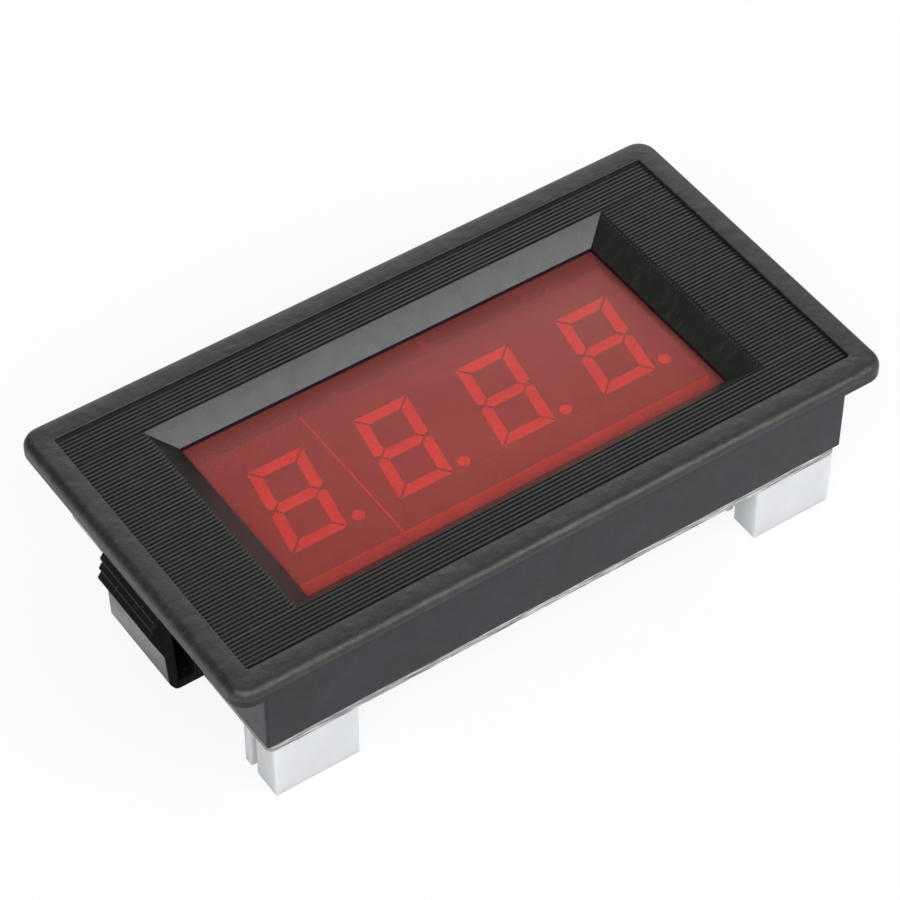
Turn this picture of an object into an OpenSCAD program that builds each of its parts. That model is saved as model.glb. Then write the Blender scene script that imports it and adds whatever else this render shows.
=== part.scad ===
// Panel-mounted meter with a four-digit seven-segment display.
// The meter lies on its back: +Z leaves the face, +X runs along the digits from left to right,
// +Y points to the tops of the digits. The origin is the middle of the plane in which the back
// of the flange seats on the panel.

/* [Flange and face] */
// Width of the flange
flange_w = 79; // [78:0.5:84]
// Height of the flange
flange_h = 42; // [41.5:0.5:46]
// Thickness of the flange
flange_t = 2; // [1.6:0.1:3]
// Corner radius of the flange, seen from the front
flange_corner_r = 2.2; // [1.5:0.1:3]
// Rounding along the flange's front edge
flange_edge_r = 0.8; // [0.3:0.1:1.2]
// Plain border around the ribbed field
border = 2.9; // [2.2:0.1:3.2]
// Depth of the rib tops below the border
field_drop = 0.35; // [0.2:0.05:0.5]
// Distance from rib to rib
rib_pitch = 0.5; // [0.4:0.05:1]
// Width of the groove between two ribs
groove_w = 0.24; // [0.1:0.02:0.3]
// Depth of the groove between two ribs
groove_d = 0.25; // [0.1:0.05:0.4]

/* [Window recess] */
// Width of the clear window, at the foot of the sloping sides
window_w = 51.6; // [50:0.2:54]
// Height of the clear window
window_h = 23.8; // [22:0.2:25]
// Run of the sloping side at each end of the window
slope_x = 2.85; // [1:0.05:3.2]
// Run of the sloping side above and below the window
slope_y = 2.2; // [1:0.05:2.4]
// Depth of the foot of the slopes below the border
slope_foot = 2.55; // [2:0.05:3]
// Height of the upright lip between the slopes and the red window
window_lip = 0.55; // [0.3:0.05:1]
// Thickness of the red window
filter_t = 1; // [0.8:0.1:2]
// Width of the ledge that the red window seats on
filter_seat = 1.6; // [1:0.1:2]
// Wall of the pocket around the red window
pocket_wall = 1; // [0.8:0.1:1.2]

/* [Housing] */
// Width of the housing behind the panel, clips apart
body_w = 71.3; // [70:0.1:72]
// Height of the housing behind the panel
body_h = 38.8; // [38:0.1:39.6]
// Depth of the housing's walls behind the panel
body_d = 9.7; // [9.2:0.1:11]
// Wall thickness of the housing
wall = 1.3; // [1:0.1:1.4]
// Outside diameter of the screw bosses
boss_d = 4.6; // [4.2:0.1:4.8]
// Distance of the screws from the centre line, sideways
screw_x = 32.1; // [31.8:0.1:32.3]
// Height of the upper screws above the centre
screw_top_y = 15.1; // [14.4:0.1:15.3]
// Depth of the lower screws below the centre
screw_low_y = 10.5; // [10.2:0.1:10.7]

/* [Mounting clips] */
// Width of a clip's spring arm
clip_w = 12; // [9:0.5:12]
// Thickness of the leg that slides in the channel
clip_leg_t = 0.95; // [0.8:0.05:1.1]
// Thickness of the tongues at the leg's edges
clip_tongue_t = 0.45; // [0.3:0.05:0.6]
// Reach of each tongue under the channel's lip
clip_tongue_w = 0.9; // [0.5:0.1:1.2]
// Clear gap between the leg and the spring arm at the bend
clip_gap = 1.95; // [1.2:0.05:2.2]
// Thickness of the spring arm
clip_arm_t = 0.9; // [0.7:0.05:1.1]
// Outward lean of the spring arm over its height
clip_lean = 0.45; // [0.2:0.05:0.8]
// Reach of the bend behind the panel
clip_reach = 12.5; // [12:0.1:14]
// Outer radius of the bend
clip_bend_r = 1.2; // [0.8:0.1:1.6]
// Number of gripping teeth
tooth_count = 4; // [2:1:4]
// Distance from tooth to tooth
tooth_pitch = 1.15; // [0.8:0.05:1.3]
// Reach of the first tooth's tip past the plain arm
tooth_first = 0.2; // [0.1:0.05:0.4]
// Reach of each further tooth's tip past the one before
tooth_grow = 0.28; // [0.1:0.02:0.36]
// Depth that each tooth drops back to before the next
tooth_back = 0.26; // [0.1:0.02:0.4]
// Fall of a tooth's gripping face from its root to its tip
tooth_fall = 0.42; // [0.1:0.02:0.5]
// Running clearance of the clip's leg in its channel
clip_play = 0.06; // [0.03:0.01:0.1]

/* [Display] */
// Width of the one-digit module
single_w = 12.6; // [12.4:0.1:12.8]
// Width of the three-digit module
triple_w = 38; // [37.6:0.1:38.4]
// Height of both modules, seen from the front
module_h = 19.1; // [18:0.1:20]
// Height of the modules' centre above the window's centre
module_y = 0.35; // [-0.5:0.05:0.6]
// Joint between the two modules
module_gap = 0.2; // [0.1:0.05:0.3]
// Gap between the modules and the red window
module_clear = 0.1; // [0.05:0.05:0.3]
// Distance from digit to digit
digit_pitch = 12.7; // [12.6:0.05:12.8]
// Height of a digit
digit_h = 11.6; // [10:0.1:13]
// Width of a digit
digit_w = 6.6; // [6:0.1:7.2]
// Width of a segment
segment_w = 1.3; // [0.9:0.05:1.5]
// Gap between the ends of neighbouring segments
segment_gap = 0.22; // [0.1:0.02:0.4]
// Lean of the digits to the right, in degrees
digit_lean = 10; // [0:1:12]
// Diameter of the decimal point
point_d = 1.35; // [1:0.05:1.6]
// Distance from a digit's lower right corner to the middle of its decimal point
point_gap = 1.65; // [1.4:0.05:1.8]
// Depth of the translucent filling in the module's face
segment_depth = 3; // [1:0.5:5]
// Distance between a module's two rows of pins
pin_row = 15.24; // [14:0.01:16]
// Thickness of a module's pins
module_pin = 0.5; // [0.4:0.02:0.6]

/* [Circuit board] */
// Thickness of the circuit board
board_t = 1.2; // [0.8:0.1:1.6]
// Distance of the board's edge inside the walls' outer face
board_inset = 0.3; // [0.1:0.05:0.6]
// Corner radius of the board
board_corner_r = 0.8; // [0.3:0.1:1.5]
// Diameter of the board's holes for round leads and pins
pin_hole_d = 1; // [0.95:0.05:1.2]
// Diameter of the board's holes for the screws
screw_hole_d = 2.3; // [2.1:0.1:2.6]
// Length of lead left standing out of a solder joint
lead_stub = 0.5; // [0.2:0.1:0.8]
// Height of a solder joint
solder_h = 0.7; // [0.4:0.1:1]
// Diameter of a solder joint at the board
solder_d = 1.8; // [1.6:0.1:2]

/* [Plug headers] */
// Width of a header
header_w = 9.9; // [9.5:0.1:10.2]
// Front-to-back size of a header
header_d = 5.75; // [5.5:0.05:6]
// Height of a header above the board
header_h = 7; // [6:0.1:8]
// Wall of a header
header_wall = 0.85; // [0.6:0.05:1]
// Thickness of a header's floor
header_floor = 1.1; // [0.8:0.1:1.6]
// Distance of a header's middle from the centre line
header_x = 29.9; // [29.5:0.1:30.1]
// Distance of a header's outer face inside the housing's face
header_inset = 0.15; // [0:0.05:0.3]
// Distance between the contact pins
contact_pitch = 2.5; // [2:0.01:2.54]
// Thickness of a contact pin
contact_pin = 0.64; // [0.5:0.02:0.64]
// Distance from a header's outer face to its row of pins
contact_row = 2.35; // [2:0.05:2.6]
// Width of the slot in each end of a header
end_slot_w = 1.05; // [0.8:0.05:1.2]
// Distance from a header's outer face to the slot's near side
end_slot_at = 3.55; // [3.2:0.05:3.8]
// Width of the two notches in a header's inner long wall
key_notch_w = 1.6; // [1:0.1:2]

/* [Parts on the board] */
// Diameter of an electrolytic capacitor
can_d = 6.3; // [5:0.1:6.5]
// Distance of the electrolytic capacitors from the centre line
can_x = 20.5; // [19.5:0.5:22]
// Distance between a capacitor's leads
can_lead_pitch = 2.5; // [2:0.1:3]
// Distance of the row of taller parts inside the housing's upper face
tall_row_inset = 5.2; // [4.6:0.1:5.4]
// Width of the trimmer
trimmer_w = 6.6; // [6:0.1:7]
// Height of the trimmer's body
trimmer_h = 4.6; // [4:0.1:5]
// Diameter of the trimmer's turning screw
rotor_d = 3; // [2.4:0.1:3.6]
// Width of the screwdriver slot
rotor_slot = 0.6; // [0.5:0.05:0.8]
// Radial running clearance of the trimmer's screw
rotor_play = 0.05; // [0.02:0.01:0.1]
// Length of the crystal's can
crystal_l = 10.2; // [9:0.1:10.6]
// Width of the crystal's can
crystal_w = 3.7; // [3.4:0.1:4.2]
// Height of the crystal over its base
crystal_h = 3.1; // [2.5:0.1:4]
// Side of the controller's square body
controller_w = 7; // [6.5:0.5:7]
// Diameter of a screw's head
head_d = 3.8; // [3.6:0.1:4]
// Height of a screw's head
head_h = 1.3; // [1:0.1:1.6]
// Core diameter of a screw
screw_d = 1.8; // [1.6:0.1:1.9]
// Length of a screw under its head
screw_l = 7; // [5:0.5:8]

/* [Hidden] */
$fn = 48;
eps = 0.01;
seat_gap = 0.1;
snug = 0.02;

// Levels behind and in front of the seating plane
face_z = flange_t;
crest_z = face_z - field_drop;
foot_z = face_z - slope_foot;
filter_front_z = foot_z - window_lip;
filter_back_z = filter_front_z - filter_t;
board_front_z = -body_d;
board_back_z = board_front_z - board_t;
module_face_z = filter_back_z - module_clear;
module_depth = module_face_z - board_front_z;

// Ribbed field
field_w = flange_w - 2 * border;
field_h = flange_h - 2 * border;
groove_n = floor((field_h / 2 - groove_w) / rib_pitch + 0.5);

// Red window and its pocket
filter_w = window_w + 2 * filter_seat;
filter_h = window_h + 2 * filter_seat;
pocket_w = filter_w + 2 * seat_gap;
pocket_h = filter_h + 2 * seat_gap;

// Display modules, side by side and centred on the window
display_w = single_w + module_gap + triple_w;
single_x = -display_w / 2 + single_w / 2;
triple_x = display_w / 2 - triple_w / 2;
pin_pitch = 2.54;
single_pins = 5;
triple_pins = 6;

// Clip channel in each end wall
channel_depth = clip_leg_t + clip_play;
channel_half = clip_w / 2 + clip_tongue_w + clip_play;
channel_mouth = clip_w / 2 + clip_play;
channel_top_z = -0.8;
channel_floor_x = body_w / 2 - channel_depth;
slot_depth = clip_tongue_t + 2 * clip_play;
pad_x = channel_floor_x - wall;
pad_half = channel_half + 1;

// Clip, measured outwards from the housing's end wall
arm_in = clip_gap;
arm_out = clip_gap + clip_arm_t;
arm_top_z = -0.6;
tooth_top_z = arm_top_z - 0.3;
ramp_h = 3.2;
arm_bevel = 0.8;
arm_bevel_run = 0.5;
tooth_bevel = 0.5;

// Board outline
board_w = body_w - 2 * board_inset;
board_h = body_h - 2 * board_inset;
notch_x = channel_floor_x - 0.2;
notch_half = channel_half + 0.25;

// Headers
header_y = -body_h / 2 + header_inset + header_d / 2;
contact_y = header_y - header_d / 2 + contact_row;
contact_tip = header_h - 1;
contact_tail = board_t + solder_h + lead_stub;
contacts = 3;

// Places of the parts on the board
board_parts_h = header_h;
tall_row_y = body_h / 2 - tall_row_inset;
trimmer_x = 7;
crystal_x = -7;
controller_x = 6.4;
driver_places = [-8.6, 20.6];
amplifier_x = single_x;
regulator_place = [-14.5, -14];
diode_place = [-4, -15.6];
transistor_row = [for (i = [0 : 3]) [4.5 + 4.6 * i, -12.2]];
resistor_columns = [-2.5, 14.1];
resistor_rows = 5;
resistor_step = 2.1;
chip_cap_columns = [-28, 28];
chip_cap_rows = 3;
chip_cap_step = 2.6;
screw_places = [
    for (side = [-1, 1]) [side * screw_x, screw_top_y],
    for (side = [-1, 1]) [side * screw_x, -screw_low_y]
];
can_places = [[-can_x, tall_row_y], [can_x, tall_row_y]];
crystal_lead_pitch = 4.9;
trimmer_pin_pitch = 2.54;

// ---- shared shapes ----

// A block centred in X and Y that stands on z = 0
module block(w, h, t) {
    translate([-w / 2, -h / 2, 0]) cube([w, h, t]);
}

// A plate with round corners, centred in X and Y
module round_plate(w, h, t, r) {
    linear_extrude(t) union() {
        square([w - 2 * r, h], center = true);
        square([w, h - 2 * r], center = true);
        for (x = [-1, 1], y = [-1, 1])
            translate([x * (w / 2 - r), y * (h / 2 - r)]) circle(r);
    }
}

// Half section of a plate's rounded rim, from the corner axis outwards
module rim_section(r, t, edge) {
    union() {
        square([r - edge, t]);
        square([r, t - edge]);
        intersection() {
            translate([r - edge, t - edge]) circle(edge);
            square([r, t]);
        }
    }
}

// A plate with round corners whose upper edge is rounded all the way round
module rimmed_plate(w, h, t, r, edge) {
    block(w - 2 * r, h - 2 * r, t);
    for (turn = [0, 180]) rotate(turn) {
        translate([w / 2 - r, h / 2 - r, 0]) rotate([90, 0, 0])
            linear_extrude(h - 2 * r) rim_section(r, t, edge);
        translate([-w / 2 + r, h / 2 - r, 0]) rotate([90, 0, 90])
            linear_extrude(w - 2 * r) rim_section(r, t, edge);
    }
    for (x = [0, 1], y = [0, 1])
        mirror([x, 0, 0]) mirror([0, y, 0])
            translate([w / 2 - r, h / 2 - r, 0])
                rotate_extrude(angle = 90) rim_section(r, t, edge);
}

// Puts a part on the back of the board, its foot on the board and its top towards the rear
module on_back(place) {
    translate([place.x, place.y, board_back_z]) rotate([180, 0, 0]) children();
}

// ---- housing ----

// Funnel-shaped recess over the window: two prisms crossing at right angles
module window_recess() {
    top_z = face_z + 1;
    over = top_z - crest_z;
    fall = crest_z - foot_z;
    half_w = window_w / 2;
    half_h = window_h / 2;
    extra_x = slope_x + slope_x * over / fall;
    extra_y = slope_y + slope_y * over / fall;
    intersection() {
        translate([0, flange_h / 2, 0]) rotate([90, 0, 0]) linear_extrude(flange_h)
            polygon([
                [-half_w, foot_z], [half_w, foot_z],
                [half_w + extra_x, top_z], [-half_w - extra_x, top_z]
            ]);
        translate([-flange_w / 2, 0, 0]) rotate([90, 0, 90]) linear_extrude(flange_w)
            polygon([
                [-half_h, foot_z], [half_h, foot_z],
                [half_h + extra_y, top_z], [-half_h - extra_y, top_z]
            ]);
    }
}

// Sunk field with its fine horizontal grooves, a rib along the middle
module ribbed_field() {
    translate([0, 0, crest_z]) block(field_w, field_h, field_drop + eps);
    for (side = [-1, 1], i = [1 : groove_n])
        translate([0, side * (i - 0.5) * rib_pitch, crest_z - groove_d])
            block(field_w, groove_w, groove_d + eps);
}

// Channel for a clip's leg in the wall at the +X end, open at the rear
module clip_channel() {
    low_z = -body_d - eps;
    tall = channel_top_z - low_z;
    translate([channel_floor_x, -channel_half, low_z])
        cube([slot_depth, 2 * channel_half, tall]);
    translate([channel_floor_x, -channel_mouth, low_z])
        cube([channel_depth + eps, 2 * channel_mouth, tall]);
}

module bezel_housing() {
    color("#3f3f3e") difference() {
        union() {
            rimmed_plate(flange_w, flange_h, flange_t, flange_corner_r, flange_edge_r);
            // walls behind the panel
            difference() {
                translate([0, 0, -body_d]) block(body_w, body_h, body_d);
                translate([0, 0, -body_d - eps])
                    block(body_w - 2 * wall, body_h - 2 * wall, body_d + eps);
            }
            // pocket frame for the red window
            translate([0, 0, filter_back_z])
                block(pocket_w + 2 * pocket_wall, pocket_h + 2 * pocket_wall, -filter_back_z + eps);
            // thicker wall behind each clip channel
            for (side = [0, 1]) mirror([side, 0, 0])
                translate([pad_x, -pad_half, -body_d])
                    cube([body_w / 2 - pad_x - eps, 2 * pad_half, body_d + eps]);
            for (p = screw_places)
                translate([p.x, p.y, -body_d]) cylinder(d = boss_d, h = body_d + eps);
        }
        ribbed_field();
        window_recess();
        translate([0, 0, filter_back_z - eps]) block(window_w, window_h, foot_z - filter_back_z + 2 * eps);
        translate([0, 0, filter_back_z - eps]) block(pocket_w, pocket_h, filter_t + eps);
        for (side = [0, 1]) mirror([side, 0, 0]) clip_channel();
        for (p = screw_places)
            translate([p.x, p.y, -body_d - eps])
                cylinder(d = screw_d + 2 * snug, h = screw_l - board_t + seat_gap + eps);
    }
}

module filter_window() {
    color("#a8403f") translate([0, 0, filter_back_z]) block(filter_w, filter_h, filter_t);
}

// ---- display ----

// Moves an upright outline's point over by the digits' lean
function lean(p) = [p.x + p.y * tan(digit_lean), p.y];

// The seven segments of an upright digit, whose lower left corner is the origin
function segment_outlines() =
    let (
        w = digit_w, h = digit_h, t = segment_w, k = segment_gap * sqrt(2) / 2, m = h / 2,
        top = [[k, h], [w - k, h], [w - t - k, h - t], [t + k, h - t]],
        bar = [
            [t / 2 + k, m], [t + k, m + t / 2], [w - t - k, m + t / 2],
            [w - t / 2 - k, m], [w - t - k, m - t / 2], [t + k, m - t / 2]
        ],
        post = [[0, h - k], [t, h - t - k], [t, m + t / 2 + k], [t / 2, m + k], [0, m + k + t / 4]]
    )
    [
        top,
        [for (p = top) [p.x, h - p.y]],
        bar,
        post,
        [for (p = post) [p.x, h - p.y]],
        [for (p = post) [w - p.x, p.y]],
        [for (p = post) [w - p.x, h - p.y]]
    ];

// One digit with its decimal point, centred on the origin at half its height
module digit_fill(depth, grow) {
    shift = digit_w / 2 + digit_h / 2 * tan(digit_lean);
    translate([-shift, -digit_h / 2, -depth]) {
        for (outline = segment_outlines())
            linear_extrude(depth) polygon([for (p = outline) lean(p)]);
        translate([digit_w + point_gap, point_d / 2, 0]) cylinder(d = point_d + 2 * grow, h = depth);
    }
}

module digits(count, depth, grow) {
    for (i = [0 : count - 1])
        translate([(i - (count - 1) / 2) * digit_pitch, module_y, module_face_z])
            digit_fill(depth, grow);
}

module display_case(x, w, count) {
    color("#8f8f8c") difference() {
        translate([x, module_y, board_front_z]) block(w, module_h, module_depth);
        translate([x, 0, eps]) digits(count, segment_depth + eps, snug);
    }
}

module display_segments(x, count) {
    color("#c94245") translate([x, 0, 0]) digits(count, segment_depth, 0);
}

// Places of a module's pins
function module_pins(x, count) = [
    for (i = [0 : count - 1], row = [-1, 1])
        [x + (i - (count - 1) / 2) * pin_pitch, module_y + row * pin_row / 2]
];

module display_pins(x, count) {
    stub = board_t + solder_h + lead_stub;
    color("#c9c9c4") for (p = module_pins(x, count))
        translate([p.x, p.y, board_front_z - stub]) block(module_pin, module_pin, stub);
}

module single_display_case() { display_case(single_x, single_w, 1); }
module single_display_segments() { display_segments(single_x, 1); }
module single_display_pins() { display_pins(single_x, single_pins); }
module triple_display_case() { display_case(triple_x, triple_w, 3); }
module triple_display_segments() { display_segments(triple_x, 3); }
module triple_display_pins() { display_pins(triple_x, triple_pins); }

// ---- board ----

// Square pins that are soldered on the back of the board
back_pins = concat(module_pins(single_x, single_pins), module_pins(triple_x, triple_pins));

// Contacts of one header, seen along the board
function contact_places(side) = [
    for (i = [0 : contacts - 1])
        [side * header_x + (i - (contacts - 1) / 2) * contact_pitch, contact_y]
];
header_contacts = concat(contact_places(-1), contact_places(1));

// Round leads that are soldered on the front of the board
can_leads = [for (c = can_places, s = [-1, 1]) [c.x + s * can_lead_pitch / 2, c.y]];
crystal_pins = [for (s = [-1, 1]) [crystal_x + s * crystal_lead_pitch / 2, tall_row_y]];
trimmer_feet = [
    for (i = [-1 : 1])
        [trimmer_x + i * trimmer_pin_pitch, tall_row_y + (i == 0 ? 1 : -1) * trimmer_pin_pitch / 2]
];
front_leads = concat(can_leads, crystal_pins, trimmer_feet);
lead_d = 0.5;

module main_pcb() {
    color("#2f6b3c") difference() {
        translate([0, 0, board_back_z]) round_plate(board_w, board_h, board_t, board_corner_r);
        for (side = [0, 1]) mirror([side, 0, 0])
            translate([notch_x, -notch_half, board_back_z - eps])
                cube([board_w / 2 - notch_x + eps, 2 * notch_half, board_t + 2 * eps]);
        for (p = concat(back_pins, header_contacts, front_leads))
            translate([p.x, p.y, board_back_z - eps]) cylinder(d = pin_hole_d, h = board_t + 2 * eps);
        for (p = screw_places)
            translate([p.x, p.y, board_back_z - eps]) cylinder(d = screw_hole_d, h = board_t + 2 * eps);
    }
}

// Cone of solder that stands on the board around a pin
module solder_cone() {
    cylinder(d1 = solder_d, d2 = pin_hole_d, h = solder_h);
}

module solder_joints() {
    color("#c9cbd0") {
        for (p = back_pins) on_back(p) difference() {
            solder_cone();
            translate([0, 0, -eps]) block(module_pin, module_pin, solder_h + 2 * eps);
        }
        for (p = header_contacts) translate([p.x, p.y, board_front_z]) difference() {
            solder_cone();
            translate([0, 0, -eps]) block(contact_pin, contact_pin, solder_h + 2 * eps);
        }
        for (p = front_leads) translate([p.x, p.y, board_front_z]) difference() {
            solder_cone();
            translate([0, 0, -eps]) cylinder(d = lead_d, h = solder_h + 2 * eps);
        }
    }
}

cross_span = 0.55 * head_d;
cross_slot = 0.28 * screw_d;

// Pan-head screw with a cross recess, its head standing on the back of the board
module pan_screw() {
    difference() {
        cylinder(d = head_d, h = head_h);
        for (turn = [0, 90]) rotate(turn)
            translate([0, 0, head_h / 2]) block(cross_span, cross_slot, head_h);
    }
    translate([0, 0, -screw_l]) cylinder(d = screw_d, h = screw_l + eps);
}

module pcb_screws() {
    color("#b9bcc0") for (p = screw_places) on_back(p) pan_screw();
}

// ---- plug headers ----

module header_housing(side) {
    inner_w = header_w - 2 * header_wall;
    inner_d = header_d - 2 * header_wall;
    deep = header_h - header_floor;
    color("#dfe1e5") on_back([side * header_x, header_y]) difference() {
        block(header_w, header_d, header_h);
        translate([0, 0, header_floor]) block(inner_w, inner_d, deep + eps);
        // slot through both ends
        translate([0, header_d / 2 - end_slot_at - end_slot_w / 2, header_floor])
            block(header_w + 2 * eps, end_slot_w, deep + eps);
        // keying notches in the inner long wall
        for (s = [-1, 1])
            translate([s * contact_pitch, -header_d / 2, header_floor])
                block(key_notch_w, 3 * header_wall, deep + eps);
        for (i = [0 : contacts - 1])
            translate([(i - (contacts - 1) / 2) * contact_pitch, header_y - contact_y, -eps])
                block(contact_pin, contact_pin, header_floor + 2 * eps);
    }
}

module header_pins(side) {
    color("#c8b88a") for (p = contact_places(side))
        on_back(p) translate([0, 0, -contact_tail])
            block(contact_pin, contact_pin, contact_tail + contact_tip);
}

module left_header_housing() { header_housing(-1); }
module left_header_pins() { header_pins(-1); }
module right_header_housing() { header_housing(1); }
module right_header_pins() { header_pins(1); }

// ---- mounting clips ----

// How far out the arm's faces lean at height z
function arm_lean(z) = clip_lean * (z + clip_reach) / (clip_reach + arm_top_z);

// Tip of tooth i, counted from the arm's free end
function tooth_tip(i) = [
    arm_out + arm_lean(tooth_top_z) + tooth_first + i * tooth_grow,
    tooth_top_z - i * tooth_pitch
];

// Outline of the toothed outer face, from the free end down the ramp to the plain arm
function tooth_line() =
    let (ramp_z = tooth_tip(tooth_count - 1).y - ramp_h)
    [
        [arm_out + arm_lean(arm_top_z), arm_top_z],
        tooth_tip(0),
        for (i = [1 : tooth_count - 1]) each [
            tooth_tip(i - 1) - [tooth_back, tooth_pitch - tooth_fall],
            tooth_tip(i)
        ],
        [arm_out + arm_lean(ramp_z), ramp_z]
    ];

// Section of the clip: leg, bend and toothed spring arm; x runs outwards from the end wall
module clip_section() {
    bend_z = -clip_reach + clip_bend_r;
    union() {
        polygon([
            [arm_in, bend_z], [arm_in + arm_lean(arm_top_z), arm_top_z],
            each tooth_line(),
            [arm_out, bend_z]
        ]);
        // bend: foot of the arm, round outer corner and web
        translate([arm_out - clip_bend_r, -clip_reach]) square([eps, clip_bend_r]);
        difference() {
            union() {
                translate([arm_out - clip_bend_r, bend_z]) circle(clip_bend_r);
                translate([-clip_leg_t, -clip_reach])
                    square([arm_out - clip_bend_r + clip_leg_t, clip_bend_r]);
            }
            translate([-clip_leg_t, bend_z]) square([arm_out + clip_leg_t + 1, clip_bend_r]);
        }
        translate([-clip_leg_t, bend_z - eps])
            square([clip_leg_t, channel_top_z - seat_gap - bend_z + eps]);
    }
}

// Corner cut off the arm's edge, wider where the teeth stand out past the arm
module arm_bevel_cut() {
    reach = tooth_bevel + tooth_count * tooth_grow + tooth_first;
    linear_extrude(clip_reach) polygon([
        [arm_out - arm_bevel_run, -eps], [arm_out + reach + 1, -eps],
        [arm_out + reach + 1, arm_bevel + tooth_bevel], [arm_out + reach, arm_bevel + tooth_bevel],
        [arm_out + arm_lean(arm_top_z), arm_bevel]
    ]);
}

// Clip at the +X end
module mounting_clip() {
    low_z = -clip_reach + clip_bend_r;
    top_z = channel_top_z - seat_gap;
    color("#3a3a3b") translate([body_w / 2, 0, 0]) {
        difference() {
            translate([0, clip_w / 2, 0]) rotate([90, 0, 0]) linear_extrude(clip_w) clip_section();
            // bevelled edges of the arm and ends of the teeth
            for (s = [0, 1]) mirror([0, s, 0])
                translate([0, clip_w / 2, 0]) rotate([180, 0, 0]) arm_bevel_cut();
        }
        translate([-clip_leg_t, -clip_w / 2 - clip_tongue_w, low_z])
            cube([clip_tongue_t, clip_w + 2 * clip_tongue_w, top_z - low_z]);
    }
}

module left_mounting_clip() { rotate([0, 0, 180]) mounting_clip(); }
module right_mounting_clip() { mounting_clip(); }

// ---- parts on the back of the board ----

lead_strip_t = 0.18;
knee_at = 0.35;
foot_at = 0.6;

// Gull-wing lead: inner end at x = 0, foot on z = 0, reaching out along +X
module gull_lead(reach, width, height) {
    t = lead_strip_t;
    knee = reach * knee_at;
    foot = reach * foot_at;
    translate([0, width / 2, 0]) rotate([90, 0, 0]) linear_extrude(width)
        polygon([
            [0, height], [knee, height], [foot, t], [reach, t], [reach, 0],
            [foot - t, 0], [knee - t, height - t], [0, height - t]
        ]);
}

// Two rows of gull-wing leads along the Y sides of a body that is body_l long
module lead_rows(body_l, count, pitch, reach, width, height) {
    for (turn = [0, 180]) rotate(turn)
        for (i = [0 : count - 1])
            translate([body_l / 2, (i - (count - 1) / 2) * pitch, 0]) gull_lead(reach, width, height);
}

chip_clear = 0.1;
chip_lead_z = 0.85;
dimple_inset = 0.8;
dimple_r = 0.35;
dimple_deep = 0.08;

// Chip's body with the dimple that marks pin 1
module chip_body(w, l, t) {
    difference() {
        translate([0, 0, chip_clear]) block(w, l, t);
        translate([w / 2 - dimple_inset, l / 2 - dimple_inset, chip_clear + t - dimple_deep])
            cylinder(r = dimple_r, h = t);
    }
}

controller_t = 1.4;
controller_leads_a_side = 12;
controller_lead_pitch = 0.5;
controller_lead_reach = 1;
controller_lead_w = 0.22;

module controller_body() {
    color("#26262a") on_back([controller_x, module_y])
        chip_body(controller_w, controller_w, controller_t);
}

module controller_leads() {
    color("#c9cbd0") on_back([controller_x, module_y])
        for (turn = [0, 90]) rotate(turn)
            lead_rows(
                controller_w, controller_leads_a_side, controller_lead_pitch,
                controller_lead_reach, controller_lead_w, chip_lead_z
            );
}

// Eight- and sixteen-lead chips share their section and their leads
soic_w = 3.9;
soic_t = 1.45;
soic_pitch = 1.27;
soic_lead_reach = 1.05;
soic_lead_w = 0.4;
driver_l = 9.9;
driver_leads_a_side = 8;
amplifier_l = 4.9;
amplifier_leads_a_side = 4;

module soic_leads(leads_a_side) {
    lead_rows(soic_w, leads_a_side, soic_pitch, soic_lead_reach, soic_lead_w, chip_lead_z);
}

module driver_bodies() {
    color("#26262a") for (x = driver_places)
        on_back([x, module_y]) chip_body(soic_w, driver_l, soic_t);
}

module driver_leads() {
    color("#c9cbd0") for (x = driver_places)
        on_back([x, module_y]) soic_leads(driver_leads_a_side);
}

module amplifier_body() {
    color("#26262a") on_back([amplifier_x, module_y]) chip_body(soic_w, amplifier_l, soic_t);
}

module amplifier_leads() {
    color("#c9cbd0") on_back([amplifier_x, module_y]) soic_leads(amplifier_leads_a_side);
}

regulator_w = 6.5;
regulator_d = 3.5;
regulator_t = 1.6;
regulator_lead_pitch = 2.3;
regulator_lead_reach = 1.75;
regulator_lead_w = 0.7;
regulator_tab_w = 3;

module regulator_body() {
    color("#26262a") on_back(regulator_place)
        translate([0, 0, chip_clear]) block(regulator_w, regulator_d, regulator_t);
}

module regulator_leads() {
    color("#c9cbd0") on_back(regulator_place) {
        for (i = [-1 : 1]) translate([i * regulator_lead_pitch, regulator_d / 2, 0])
            rotate(90) gull_lead(regulator_lead_reach, regulator_lead_w, chip_lead_z);
        translate([0, -regulator_d / 2, 0])
            rotate(-90) gull_lead(regulator_lead_reach, regulator_tab_w, chip_lead_z);
    }
}

transistor_w = 2.9;
transistor_d = 1.3;
transistor_t = 0.95;
transistor_lead_x = 0.95;
transistor_lead_reach = 0.55;
transistor_lead_w = 0.4;
transistor_lead_z = 0.6;

module transistor_lead() {
    gull_lead(transistor_lead_reach, transistor_lead_w, transistor_lead_z);
}

module transistor_bodies() {
    color("#26262a") for (p = transistor_row)
        on_back(p) translate([0, 0, chip_clear]) block(transistor_w, transistor_d, transistor_t);
}

module transistor_leads() {
    color("#c9cbd0") for (p = transistor_row) on_back(p) {
        for (s = [-1, 1])
            translate([s * transistor_lead_x, transistor_d / 2, 0]) rotate(90) transistor_lead();
        translate([0, -transistor_d / 2, 0]) rotate(-90) transistor_lead();
    }
}

diode_l = 4.3;
diode_w = 2.6;
diode_t = 2.1;
diode_strip_t = 0.2;
diode_strip_w = 1.4;
diode_foot_l = 0.9;

module diode_body() {
    color("#26262a") on_back(diode_place)
        translate([0, 0, chip_clear]) block(diode_l, diode_w, diode_t);
}

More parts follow.
